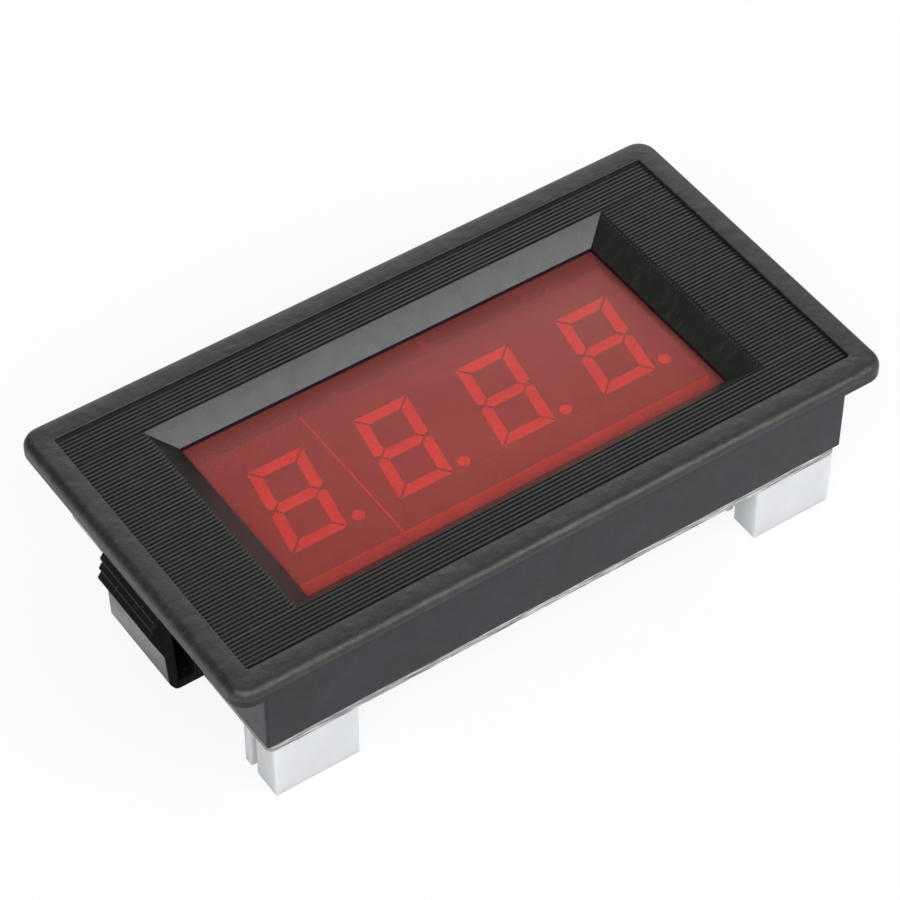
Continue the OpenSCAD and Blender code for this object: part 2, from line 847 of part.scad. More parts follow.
// The diode's strips leave its ends at half height and fold in under the body's edge
module diode_leads() {
    color("#c9cbd0") on_back(diode_place) for (turn = [0, 180]) rotate(turn) {
        translate([diode_l / 2, -diode_strip_w / 2, 0])
            cube([diode_strip_t, diode_strip_w, diode_t / 2]);
        translate([diode_l / 2 - diode_foot_l, -diode_strip_w / 2, 0])
            cube([diode_foot_l, diode_strip_w, chip_clear]);
    }
}

crystal_base_t = 0.5;
crystal_rim = 0.45;

module crystal_can() {
    r = crystal_w / 2;
    color("#c4c6ca") on_back([crystal_x, tall_row_y])
        translate([0, 0, crystal_base_t]) round_plate(crystal_l, crystal_w, crystal_h, r - eps);
}

module crystal_base() {
    l = crystal_l + 2 * crystal_rim;
    w = crystal_w + 2 * crystal_rim;
    color("#b4b6ba") on_back([crystal_x, tall_row_y]) difference() {
        round_plate(l, w, crystal_base_t, w / 2 - eps);
        for (s = [-1, 1])
            translate([s * crystal_lead_pitch / 2, 0, -eps])
                cylinder(d = lead_d, h = crystal_base_t + 2 * eps);
    }
}

// A round lead from a part's underside, through the board, to its stub in front
module round_lead(up) {
    tail = board_t + solder_h + lead_stub;
    translate([0, 0, -tail]) cylinder(d = lead_d, h = tail + up);
}

module crystal_leads() {
    color("#c9cbd0") for (p = crystal_pins) on_back(p) round_lead(crystal_base_t);
}

// The trimmer's turning screw sits in a recess in its top
rotor_h = 1.6;
rotor_rise = 0.25;
rotor_slot_deep = 0.95;

module trimmer_body() {
    color("#2d5fa8") on_back([trimmer_x, tall_row_y]) difference() {
        block(trimmer_w, trimmer_w, trimmer_h);
        translate([0, 0, trimmer_h - rotor_h])
            cylinder(d = rotor_d + 2 * rotor_play, h = rotor_h + eps);
    }
}

module trimmer_rotor() {
    color("#e3e0d6") on_back([trimmer_x, tall_row_y])
        translate([0, 0, trimmer_h - rotor_h + rotor_play]) difference() {
            cylinder(d = rotor_d, h = rotor_h + rotor_rise - rotor_play);
            translate([0, 0, rotor_h + rotor_rise - rotor_slot_deep])
                block(rotor_d + 1, rotor_slot, rotor_h);
        }
}

module trimmer_pins() {
    color("#c9cbd0") for (p = trimmer_feet) on_back(p) round_lead(0);
}

// Electrolytic capacitors: crimped can, rubber bung and two leads
can_h = board_parts_h;
bung_h = 1.2;
bung_inset = 0.6;
crimp_z = 1.9;
crimp_d = 0.3;
can_edge_r = 0.5;
can_foot_z = 0.1;

module capacitor_cans() {
    r = can_d / 2;
    edge = can_edge_r;
    color("#5a6f8f") for (p = can_places) on_back(p) rotate_extrude() union() {
        translate([0, bung_h]) square([r - bung_inset, can_h - bung_h]);
        difference() {
            translate([r - bung_inset, can_foot_z]) square([bung_inset, can_h - can_foot_z - edge]);
            translate([r + crimp_d, crimp_z]) circle(2 * crimp_d);
        }
        translate([r - bung_inset - eps, can_h - edge - eps]) square([bung_inset - edge + eps, edge + eps]);
        intersection() {
            translate([r - edge, can_h - edge]) circle(edge);
            translate([r - edge, can_h - edge]) square(edge);
        }
    }
}

module capacitor_bungs() {
    color("#1f1f20") for (p = can_places) on_back(p) difference() {
        cylinder(r = can_d / 2 - bung_inset - snug, h = bung_h);
        for (s = [-1, 1])
            translate([s * can_lead_pitch / 2, 0, -eps]) cylinder(d = lead_d, h = bung_h + 2 * eps);
    }
}

module capacitor_leads() {
    color("#c9cbd0") for (p = can_leads) on_back(p) round_lead(bung_h);
}

// Chip resistors and chip capacitors have one outline
chip_part_l = 2;
chip_part_w = 1.25;
resistor_t = 0.5;
chip_cap_t = 0.9;

module chip_resistors() {
    color("#2b2b2d") for (x = resistor_columns, i = [0 : resistor_rows - 1])
        on_back([x, module_y + (i - (resistor_rows - 1) / 2) * resistor_step])
            block(chip_part_l, chip_part_w, resistor_t);
}

module chip_capacitors() {
    color("#a98c66") for (x = chip_cap_columns, i = [0 : chip_cap_rows - 1])
        on_back([x, module_y + (i - (chip_cap_rows - 1) / 2) * chip_cap_step])
            block(chip_part_l, chip_part_w, chip_cap_t);
}

bezel_housing();
filter_window();
single_display_case();
single_display_segments();
single_display_pins();
triple_display_case();
triple_display_segments();
triple_display_pins();
main_pcb();
solder_joints();
pcb_screws();
left_header_housing();
left_header_pins();
right_header_housing();
right_header_pins();
left_mounting_clip();
right_mounting_clip();
controller_body();
controller_leads();
driver_bodies();
driver_leads();
amplifier_body();
amplifier_leads();
regulator_body();
regulator_leads();
transistor_bodies();
transistor_leads();
diode_body();
diode_leads();
crystal_can();
crystal_base();
crystal_leads();
trimmer_body();
trimmer_rotor();
trimmer_pins();
capacitor_cans();
capacitor_bungs();
capacitor_leads();
chip_resistors();
chip_capacitors();
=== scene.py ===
import math

import bmesh
import bpy
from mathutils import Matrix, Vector


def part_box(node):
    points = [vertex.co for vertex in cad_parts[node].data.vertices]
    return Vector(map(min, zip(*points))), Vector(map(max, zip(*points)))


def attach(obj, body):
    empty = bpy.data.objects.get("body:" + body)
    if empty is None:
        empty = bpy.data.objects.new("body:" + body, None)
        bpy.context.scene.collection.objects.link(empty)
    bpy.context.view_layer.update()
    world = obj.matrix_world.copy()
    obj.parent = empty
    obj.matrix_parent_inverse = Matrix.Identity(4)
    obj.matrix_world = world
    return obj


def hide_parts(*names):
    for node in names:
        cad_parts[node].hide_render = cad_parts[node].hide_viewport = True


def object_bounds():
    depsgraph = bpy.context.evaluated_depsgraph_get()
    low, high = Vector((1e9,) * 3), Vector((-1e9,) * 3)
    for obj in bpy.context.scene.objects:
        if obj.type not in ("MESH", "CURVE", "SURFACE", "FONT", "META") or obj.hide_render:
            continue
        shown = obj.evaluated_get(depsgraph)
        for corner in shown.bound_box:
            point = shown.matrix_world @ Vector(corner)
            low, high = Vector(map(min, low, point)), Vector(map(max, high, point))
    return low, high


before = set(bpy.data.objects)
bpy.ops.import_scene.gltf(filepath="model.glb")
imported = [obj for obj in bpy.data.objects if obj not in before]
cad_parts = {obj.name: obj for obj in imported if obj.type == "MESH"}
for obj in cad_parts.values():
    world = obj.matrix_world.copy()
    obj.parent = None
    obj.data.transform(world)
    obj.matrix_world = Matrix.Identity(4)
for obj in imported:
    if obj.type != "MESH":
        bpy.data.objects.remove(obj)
cad_box = [list(corner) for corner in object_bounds()]

# ---- Bezel housing ----
# One black ABS moulding that carries everything else: the flange with its ribbed face and its
# funnel-shaped window, and behind it the four walls that pass through the panel. The mould's face
# is etched satin; the slopes round the window and the walls are smoother.

# sizes are in millimetres, and z = 0 is where the flange meets the panel
MM = 0.001

FLANGE_HALF = (39.5, 21.0)
FLANGE_T = 2.0
FLANGE_CORNER_R = 2.2
FLANGE_EDGE_R = 1.05
EDGE_STEPS = 8
BORDER = 2.9
BORDER_LIP_R = 0.14
LIP_STEPS = 3
FIELD_CORNER_R = 0.3
CREST_Z = 1.65
GROOVE_PITCH = 0.5
GROOVE_HALF = 0.12
GROOVE_DEEP = 0.25
GROOVES_EACH_WAY = 36
WINDOW_HALF = (25.8, 11.9)
SLOPE_RUN = (2.85, 2.2)
SLOPE_FOOT_Z = -0.55
SLOPE_LIP_R = 0.03
LEDGE_Z = -1.1
POCKET_HALF = (27.5, 13.6)
POCKET_FLOOR_Z = -2.1
POCKET_WALL = 1.0
BODY_HALF = (35.65, 19.4)
BODY_WALL = 1.3
BODY_CORNER_R = 0.35
BODY_INNER_R = 0.2
BODY_BACK_Z = -9.7
OUTER_BREAK = 0.12
INNER_BREAK = 0.1
CORNER_STEPS = 6


def outline(half, z, r, inset=0.0):
    """Rounded rectangle at height z, from the +X side round to the +Y side; r = 0 gives four points."""
    w, h = half[0] - inset, half[1] - inset
    if r <= 0:
        return [(w, -h, z), (w, h, z), (-w, h, z), (-w, -h, z)]
    points = []
    for turn, cx, cy in ((-90, w - r, r - h), (0, w - r, h - r), (90, r - w, h - r), (180, r - w, r - h)):
        for i in range(CORNER_STEPS + 1):
            a = math.radians(turn + 90 * i / CORNER_STEPS)
            points.append((cx + r * math.cos(a), cy + r * math.sin(a), z))
    return points


class Shell:
    """Points and faces of a mesh while it is put together, in millimetres."""

    def __init__(self):
        self.points, self.faces, self.finish = [], [], []

    def add(self, points):
        start = len(self.points)
        self.points += points
        return list(range(start, len(self.points)))

    def face(self, corners, finish=0):
        self.faces.append(corners)
        self.finish.append(finish)

    def take(self, other):
        """Adds another shell's points and faces to this one."""
        start = len(self.points)
        self.points += other.points
        self.faces += [[i + start for i in face] for face in other.faces]
        self.finish += other.finish

    def loft(self, a, b, finish=0):
        """Skins the gap between two rings; four points meet a rounded outline at its corners."""
        if len(a) == len(b):
            for i in range(len(a)):
                j = (i + 1) % len(a)
                self.face([a[i], a[j], b[j], b[i]], finish)
            return
        flip = len(a) != 4
        small, big = (b, a) if flip else (a, b)
        step = len(big) // 4
        for c in range(4):
            arc = big[c * step:(c + 1) * step]
            n = (c + 1) % 4
            corners = [[small[c], arc[i + 1], arc[i]] for i in range(step - 1)]
            corners.append([small[c], small[n], big[n * step], arc[-1]])
            for face in corners:
                self.face(face[::-1] if flip else face, finish)

    def carry_on(self, ring, levels, finish):
        """Skins on from a ring through levels of (half size, z, corner radius, inset)."""
        for half, z, r, inset in levels:
            following = self.add(outline(half, z, r, inset))
            self.loft(ring, following, finish)
            ring = following
        return ring

    def mesh(self, name):
        data = bpy.data.meshes.new(name)
        data.from_pydata([[v * MM for v in p] for p in self.points], [], self.faces)
        data.polygons.foreach_set("material_index", self.finish)
        return data


def fillet(start, corner, end, steps):
    """Points on a soft bend from start to end, pulled towards the corner."""
    row = []
    for i in range(steps + 1):
        t = i / steps
        row.append(tuple(
            (1 - t) ** 2 * s + 2 * t * (1 - t) * c + t * t * e for s, c, e in zip(start, corner, end)
        ))
    return row


def slope_at(z, way):
    """Half width (way 0) or half height (way 1) of the funnel at height z."""
    return WINDOW_HALF[way] + SLOPE_RUN[way] * (z - SLOPE_FOOT_Z) / (CREST_Z - SLOPE_FOOT_Z)


# finishes of the moulding's faces, in the order of its material slots
ETCHED, RIBBED, SLOPE, WALL, OPEN = range(5)

shell = Shell()
back_turn = shell.add(outline(FLANGE_HALF, 0, FLANGE_CORNER_R - OUTER_BREAK, OUTER_BREAK))
side_top = shell.carry_on(
    back_turn, [(FLANGE_HALF, z, FLANGE_CORNER_R, 0) for z in (OUTER_BREAK, FLANGE_T - FLANGE_EDGE_R)], WALL
)
face_levels = []
for i in range(1, EDGE_STEPS + 1):
    a = math.radians(90 * i / EDGE_STEPS)
    inset = FLANGE_EDGE_R * (1 - math.cos(a))
    z = FLANGE_T - FLANGE_EDGE_R * (1 - math.sin(a))
    face_levels.append((FLANGE_HALF, z, FLANGE_CORNER_R - inset, inset))
for i in range(LIP_STEPS + 1):
    a = math.radians(90 * i / LIP_STEPS)
    inset = BORDER - BORDER_LIP_R * (1 - math.sin(a))
    face_levels.append((FLANGE_HALF, FLANGE_T - BORDER_LIP_R * (1 - math.cos(a)), FIELD_CORNER_R, inset))
field_rim = shell.carry_on(side_top, face_levels, ETCHED)

# from the foot of the slopes to the ledge, the pocket, the inner walls, the back rim and out again
frame_half = (POCKET_HALF[0] + POCKET_WALL, POCKET_HALF[1] + POCKET_WALL)
inner_half = (BODY_HALF[0] - BODY_WALL, BODY_HALF[1] - BODY_WALL)
foot = shell.add(outline(WINDOW_HALF, SLOPE_FOOT_Z, 0))
root = shell.carry_on(foot, [
    (WINDOW_HALF, LEDGE_Z, 0, 0), (POCKET_HALF, LEDGE_Z, 0, 0), (POCKET_HALF, POCKET_FLOOR_Z, 0, 0),
    (frame_half, POCKET_FLOOR_Z, 0, 0), (frame_half, 0, 0, 0),
    (inner_half, 0, BODY_INNER_R, 0), (inner_half, BODY_BACK_Z + INNER_BREAK, BODY_INNER_R, 0),
    (inner_half, BODY_BACK_Z, BODY_INNER_R, -INNER_BREAK),
    (BODY_HALF, BODY_BACK_Z, BODY_CORNER_R, OUTER_BREAK),
    (BODY_HALF, BODY_BACK_Z + OUTER_BREAK, BODY_CORNER_R, 0), (BODY_HALF, 0, BODY_CORNER_R, 0),
], WALL)
shell.loft(root, back_turn, WALL)
shell.loft(field_rim, foot, OPEN)


def placed(name, data):
    """A new object in the scene."""
    made = bpy.data.objects.new(name, data)
    bpy.context.scene.collection.objects.link(made)
    return made


def solid(name, shells, slots=0):
    """An object made of shells, with its faces all looking outwards and some empty material slots."""
    whole = Shell()
    for one in shells:
        whole.take(one)
    mesh = whole.mesh(name)
    work = bmesh.new()
    work.from_mesh(mesh)
    bmesh.ops.recalc_face_normals(work, faces=work.faces)
    work.to_mesh(mesh)
    work.free()
    for _ in range(slots):
        mesh.materials.append(None)
    return placed(name, mesh)


def skinned(rings, finish=0):
    """A closed shell skinned over rings of points, with flat ends; its last face is the last ring's."""
    made = Shell()
    rows = [made.add(ring) for ring in rings]
    for a, b in zip(rows, rows[1:]):
        made.loft(a, b, finish)
    made.face(rows[0][::-1], finish)
    made.face(rows[-1], finish)
    return made


def block(low, high, finish=0):
    """A block between two corners."""
    (x0, y0, z0), (x1, y1, z1) = low, high
    return skinned([[(x0, y0, z), (x1, y0, z), (x1, y1, z), (x0, y1, z)] for z in (z0, z1)], finish)


def circle(r, steps, x=0, y=0):
    """Points (x, y) round a circle."""
    turns = [math.tau * i / steps for i in range(steps)]
    return [(x + r * math.cos(a), y + r * math.sin(a)) for a in turns]


def lathed(profile, place=(0, 0), steps=32, finish=0):
    """A solid turned from (radius, height) points around an upright axis at place (x, y)."""
    return skinned([[(x, y, z) for x, y in circle(r, steps, *place)] for r, z in profile], finish)


def combine(target, shells, operation, slots=0):
    """Joins closed shells to the target, or cuts them out of it."""
    others = [solid("part", [one], slots) for one in shells]
    for other in others:
        modifier = target.modifiers.new("join", "BOOLEAN")
        modifier.operation = operation
        modifier.solver = "EXACT"
        modifier.object = other
    bpy.context.view_layer.update()
    seen = target.evaluated_get(bpy.context.evaluated_depsgraph_get())
    target.data = bpy.data.meshes.new_from_object(seen)
    target.modifiers.clear()
    for other in others:
        bpy.data.objects.remove(other)


CHANNEL_DEPTH = 1.01
CHANNEL_SLOT = 0.57
CHANNEL_HALF = 6.96
CHANNEL_MOUTH = 6.06
CHANNEL_TOP_Z = -0.8
CHANNEL_CHEEK = 1
BOSS_R = 2.3
SCREW_R = 0.92
SCREW_DEEP = 5.9
SCREWS = [(-32.1, 15.1), (32.1, 15.1), (-32.1, -10.5), (32.1, -10.5)]
# how far a joined block sinks into the flange or the wall, and how far a cut runs past the surface
ROOT_IN, WALL_IN, CUT_PAST = 0.3, 0.4, 1


def end_block(side, near, far, half_y, low_z, high_z):
    """A block across the middle of an end wall, from near to far outwards."""
    x0, x1 = sorted((side * near, side * far))
    return block((x0, -half_y, low_z), (x1, half_y, high_z), WALL)


housing = solid("bezel_moulding", [shell])
added, removed = [], []
floor_x, wall_x = BODY_HALF[0] - CHANNEL_DEPTH, BODY_HALF[0]
cheek_y = CHANNEL_HALF + CHANNEL_CHEEK
cut_z = BODY_BACK_Z - CUT_PAST
for side in (-1, 1):
    added.append(end_block(side, floor_x - BODY_WALL, wall_x - WALL_IN, cheek_y, BODY_BACK_Z, ROOT_IN))
    for far, half_y in ((floor_x + CHANNEL_SLOT, CHANNEL_HALF), (wall_x + CUT_PAST, CHANNEL_MOUTH)):
        removed.append(end_block(side, floor_x, far, half_y, cut_z, CHANNEL_TOP_Z))
for place in SCREWS:
    added.append(lathed([(BOSS_R, BODY_BACK_Z), (BOSS_R, ROOT_IN)], place, 32, WALL))
    removed.append(lathed([(SCREW_R, cut_z), (SCREW_R, BODY_BACK_Z + SCREW_DEEP)], place, 24, WALL))
combine(housing, added, "UNION", 5)
combine(housing, removed, "DIFFERENCE", 5)

# the ribbed field: the section across the ribs, one groove after another
FIELD_HALF = (FLANGE_HALF[0] - BORDER, FLANGE_HALF[1] - BORDER)
WINDOW_EDGE_Y = slope_at(CREST_Z, 1)
RIB_ROUND = 0.04
WELD = 0.002


def groove(middle):
    """Section of one groove with its rounded shoulders and floor, as (y, z)."""
    half = [
        (GROOVE_HALF + RIB_ROUND, 0), (GROOVE_HALF + 0.012, 0.012), (GROOVE_HALF, RIB_ROUND),
        (GROOVE_HALF - 0.02, GROOVE_DEEP - 0.04), (GROOVE_HALF - 0.06, GROOVE_DEEP),
    ]
    return [(middle - y, CREST_Z - z) for y, z in half] + [(middle + y, CREST_Z - z) for y, z in half[::-1]]


grooves = [(k + 0.5) * GROOVE_PITCH for k in range(-GROOVES_EACH_WAY, GROOVES_EACH_WAY)]
lip_end = -SLOPE_LIP_R * math.sqrt(0.5)
lip = fillet((SLOPE_LIP_R, 0), (0, 0), (lip_end, lip_end), LIP_STEPS)
# the first groove above and below the window starts right at the lip
above = [p for g in grooves if g > WINDOW_EDGE_Y for p in groove(g)][3:]
beside = [p for g in grooves if abs(g) < WINDOW_EDGE_Y for p in groove(g)]
field = Shell()
rim = field.add(shell.points[field_rim[0]:field_rim[-1] + 1])
lower_right, upper_right, upper_left, lower_left = field.add(shell.points[foot[0]:foot[-1] + 1])

# at each corner of the funnel, the points of its lip from the crest down to the slope
corners = {
    (sx, sy): field.add([
        (sx * (slope_at(CREST_Z, 0) + out), sy * (WINDOW_EDGE_Y + out), CREST_Z + down) for out, down in lip
    ])
    for sx in (-1, 1) for sy in (-1, 1)
}

# full-width rows above and below the window
edge_rows = {}
for sy in (-1, 1):
    section = [(FIELD_HALF[1], CREST_Z)] + above[::-1] + [(WINDOW_EDGE_Y + SLOPE_LIP_R, CREST_Z)]
    rows = [field.add([(-FIELD_HALF[0], sy * y, z), (FIELD_HALF[0], sy * y, z)]) for y, z in section]
    for a, b in zip(rows, rows[1:-1]):
        field.face([a[0], a[1], b[1], b[0]], RIBBED)
    last, ends = rows[-2:]
    left, right = corners[-1, sy], corners[1, sy]
    field.face([last[0], last[1], ends[1], right[0], left[0], ends[0]], RIBBED)
    for k in range(LIP_STEPS):
        field.face([left[k], right[k], right[k + 1], left[k + 1]], SLOPE)
    edge_rows[sy] = rows

# rows beside the window, each ending on the funnel's end slope
slope_ends, side_ends = {}, {}
for sx, end in ((-1, 0), (1, 1)):
    rows = [[edge_rows[-1][-1][end]] + corners[sx, -1]]
    for y, z in beside:
        # the lip fades out where the section goes down into a groove
        left_of_lip = 1 - min(1, (CREST_Z - z) / RIB_ROUND)
        row = [(sx * FIELD_HALF[0], y, z)]
        for out, down in lip:
            low = z + down * left_of_lip
            row.append((sx * (slope_at(z, 0) + out if out > 0 else slope_at(low, 0)), y, low))
        rows.append(field.add(row))
    rows.append([edge_rows[1][-1][end]] + corners[sx, 1])
    for a, b in zip(rows, rows[1:]):
        for k in range(len(lip)):
            field.face([a[k], a[k + 1], b[k + 1], b[k]], SLOPE if k else RIBBED)
    side_ends[sx] = [row[0] for row in rows[1:-1]]
    slope_ends[sx] = [row[-1] for row in rows]

# the four slopes, down to the foot
field.face(slope_ends[1] + [upper_right, lower_right], SLOPE)
field.face(slope_ends[-1] + [upper_left, lower_left], SLOPE)
field.face([corners[-1, 1][-1], corners[1, 1][-1], upper_right, upper_left], SLOPE)
field.face([corners[-1, -1][-1], corners[1, -1][-1], lower_right, lower_left], SLOPE)

# the low wall between the border and the field, closed with the ribs' ends
turn = CORNER_STEPS + 1
arcs = [rim[k * turn:(k + 1) * turn] for k in range(4)]
for arc, (end, sy) in zip(arcs, ((1, -1), (1, 1), (0, 1), (0, -1))):
    for a, b in zip(arc, arc[1:]):
        field.face([a, b, edge_rows[sy][0][end]], ETCHED)
for sx, end, near, far in ((1, 1, arcs[0][-1], arcs[1][0]), (-1, 0, arcs[3][0], arcs[2][-1])):
    low, high = ([row[end] for row in edge_rows[sy]] for sy in (-1, 1))
    field.face([near] + low + side_ends[sx] + high[::-1] + [far], ETCHED)
for sy, near, far in ((-1, arcs[3][-1], arcs[0][0]), (1, arcs[1][-1], arcs[2][0])):
    field.face([near, far] + edge_rows[sy][0][::sy], ETCHED)

# the field takes the place of the plain funnel that stood for it while the walls were cut
work = bmesh.new()
work.from_mesh(housing.data)
stand_in = [f for f in work.faces if f.material_index == OPEN]
bmesh.ops.delete(work, geom=stand_in, context="FACES")
work.from_mesh(field.mesh("field"))
bmesh.ops.remove_doubles(work, verts=work.verts, dist=WELD * MM)
bmesh.ops.recalc_face_normals(work, faces=work.faces)
work.to_mesh(housing.data)
work.free()


def linear(code):
    """Turns an sRGB hex colour into the linear values that the shaders take."""
    parts = [int(code[i:i + 2], 16) / 255 for i in (1, 3, 5)]
    return [c / 12.92 if c <= 0.04045 else ((c + 0.055) / 1.055) ** 2.4 for c in parts] + [1.0]


def add_node(tree, kind, settings=None, links=None):
    """Adds a shader node with its settings (inputs, stops or attributes) and the nodes that feed it."""
    node = tree.nodes.new("ShaderNode" + kind)
    for name, value in (settings or {}).items():
        if name == "stops":
            stops = node.color_ramp.elements
            while len(stops) < len(value):
                stops.new(0.5)
            for stop, (place, shade) in zip(stops, value):
                stop.position = place
                stop.color = linear(shade)
        elif isinstance(name, int) or name in node.inputs:
            node.inputs[name].default_value = value
        else:
            setattr(node, name, value)
    for name, source in (links or {}).items():
        # a node stands for its first output
        tree.links.new(source.outputs[0] if hasattr(source, "outputs") else source, node.inputs[name])
    return node


def cleared(owner):
    """The empty node tree of a material or the world."""
    owner.use_nodes = True
    owner.node_tree.nodes.clear()
    return owner.node_tree


def new_finish(name):
    """A material, its node tree, and the place on the piece in metres."""
    made = bpy.data.materials.new(name)
    tree = cleared(made)
    return made, tree, add_node(tree, "TexCoord").outputs["Object"]


def finished(made, settings, links):
    """The material with its Principled shader in place."""
    shader = add_node(made.node_tree, "BsdfPrincipled", settings, links)
    add_node(made.node_tree, "OutputMaterial", links={"Surface": shader})
    return made


def grain(size):
    """Noise scale for blotches of about this size in millimetres."""
    return 1 / (size * MM)


def raised(tree, place, *layers):
    """A skin raised by layers of noise, each (grain, depth) in millimetres."""
    skin = None
    for size, depth in layers:
        noise = add_node(tree, "TexNoise", {"Scale": grain(size), "Detail": 2}, {"Vector": place})
        feeds = {"Height": noise, "Normal": skin} if skin else {"Height": noise}
        skin = add_node(tree, "Bump", {"Strength": 1, "Distance": depth * MM}, feeds)
    return skin


def moulded_black(name, shades, rough, grain_mm, depth_mm, marks, shine=0.5, wave_mm=0.01):
    """Black plastic as it leaves the mould: satin, with an even fine grain and faint rub marks.

    The marks are as strong as marks says, shine is the specular level, and the skin's slow waves
    are wave_mm deep.
    """
    made, tree, place = new_finish(name)
    cloud = add_node(tree, "TexNoise", {"Scale": grain(6), "Detail": 4, "Roughness": 0.6}, {"Vector": place})
    tone = add_node(tree, "ValToRGB", {"stops": [(0.35, shades[0]), (0.65, shades[1])]}, {"Fac": cloud})
    # pale specks of dust and wear, a fifth of a millimetre across
    speck = add_node(tree, "TexNoise", {"Scale": grain(0.2), "Detail": 1}, {"Vector": place})
    mask = add_node(tree, "MapRange", {"From Min": 0.76, "From Max": 0.79, "To Max": 0.45}, {"Value": speck})
    dusty = add_node(tree, "Mix", {"data_type": "RGBA", 7: linear("#8d8d85")}, {0: mask, 6: tone})
    # rub marks, paler and duller: noise drawn out along one way, and the same again across it
    rubs = []
    for turn in (0.5, -0.9):
        lay = add_node(tree, "Mapping", {"Rotation": (0, 0, turn), "Scale": (1, 3.5, 1)}, {"Vector": place})
        streak = {"Scale": grain(2.2), "Detail": 4, "Roughness": 0.6}
        mark = add_node(tree, "TexNoise", streak, {"Vector": lay})
        limits = {"From Min": 0.56, "From Max": 0.72, "To Max": marks}
        rubs.append(add_node(tree, "MapRange", limits, {"Value": mark}))
    palest = add_node(tree, "Math", {"operation": "MAXIMUM"}, {0: rubs[0], 1: rubs[1]})
    worn = add_node(
        tree, "Mix", {"data_type": "RGBA", 7: linear("#4c4c46")}, {0: palest, 6: dusty.outputs[2]}
    )
    haze = {"Scale": grain(1.8), "Detail": 5, "Roughness": 0.65}
    dull = add_node(tree, "TexNoise", haze, {"Vector": place})
    for rub in rubs:
        dull = add_node(tree, "Math", {"operation": "ADD"}, {0: dull, 1: rub})
    limits = {"From Min": 0.3, "From Max": 0.75, "To Min": rough[0], "To Max": rough[1]}
    gloss = add_node(tree, "MapRange", limits, {"Value": dull})
    # over the grain, the skin is a little wavy where the plastic shrank
    skin = raised(tree, place, (grain_mm, depth_mm), (1.5, wave_mm))
    return finished(
        made, {"IOR": 1.54, "Specular IOR Level": shine},
        {"Base Color": worn.outputs[2], "Roughness": gloss, "Normal": skin}
    )


# the flange's face: a fine even grain keeps it satin, with scattered rub marks that look paler
etched_abs = moulded_black(
    "black_abs_etched", ("#1a1a18", "#21211e"), (0.38, 0.5), 0.16, 0.012, 0.3, 0.58, 0.12
)
# the ribs are a shade darker and hardly rubbed
ribbed_abs = moulded_black("black_abs_ribbed", ("#171717", "#1c1c1b"), (0.36, 0.46), 0.16, 0.004, 0.1)
# the slopes are smoother, so they mirror the light softly
smooth_abs = moulded_black("black_abs_smooth", ("#161615", "#1b1b1a"), (0.3, 0.37), 0.5, 0.002, 0.2)
# the walls behind the panel are duller; their darker, faintly blue base is painted shade with a painted cool
# cast of the room's light
wall_abs_painted_shade = moulded_black("black_abs_walls", ("#111019", "#161521"), (0.34, 0.44), 0.2, 0.004, 0.1, 0.32)


def settle(piece, node, finishes, body="meter", smooth=32):
    """Gives a piece its finishes by face number and soft shading, and puts it on its body."""
    order = [p.material_index for p in piece.data.polygons]
    piece.data.materials.clear()
    for finish in finishes:
        piece.data.materials.append(finish)
    last = len(finishes) - 1
    piece.data.polygons.foreach_set("material_index", [min(i, last) for i in order])
    for polygon in piece.data.polygons:
        polygon.use_smooth = True
    piece.data.set_sharp_from_angle(angle=math.radians(smooth))
    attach(piece, body)
    if node:
        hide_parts(node)


settle(housing, "bezel_housing", [etched_abs, ribbed_abs, smooth_abs, wall_abs_painted_shade, wall_abs_painted_shade])


# ---- Red window ----
# A 1 mm sheet of red acrylic, sawn to size and glued into the pocket behind the face. Its front
# is etched against glare, so it glows a dull red of its own and what lies behind it looks soft.

FRONT = 1
SHARP_ANGLE = 35
FLAT_ANGLE = 0.5
NODE_WELD = 0.0005


def soft_copy(node, name, radius, finishes, body="meter", keep=None, smooth=32, steps=2):
    """A CAD node's own shape with its sharp edges broken by a small radius in millimetres."""
    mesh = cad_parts[node].data.copy()
    work = bmesh.new()
    work.from_mesh(mesh)
    bmesh.ops.remove_doubles(work, verts=work.verts, dist=NODE_WELD * MM)
    bmesh.ops.dissolve_limit(
        work, angle_limit=math.radians(FLAT_ANGLE), verts=work.verts, edges=work.edges
    )
    sharp = [
        e for e in work.edges if len(e.link_faces) == 2 and (not keep or keep(e))
        and e.calc_face_angle(0) > math.radians(SHARP_ANGLE)
    ]
    if radius > 0:
        bmesh.ops.bevel(
            work, geom=sharp, offset=radius * MM, offset_type="OFFSET", segments=steps,
            profile=0.5, affect="EDGES", clamp_overlap=True
        )
    for face in work.faces:
        face.material_index = 0
    work.to_mesh(mesh)
    work.free()
    made = placed(name, mesh)
    settle(made, node, finishes, body, smooth)
    return made


def by_facing(piece, way, finish, least=0.7):
    """Numbers the faces that look along a direction, so that they take another finish."""
    for polygon in piece.data.polygons:
        if sum(a * b for a, b in zip(polygon.normal, way)) > least:
            polygon.material_index = finish


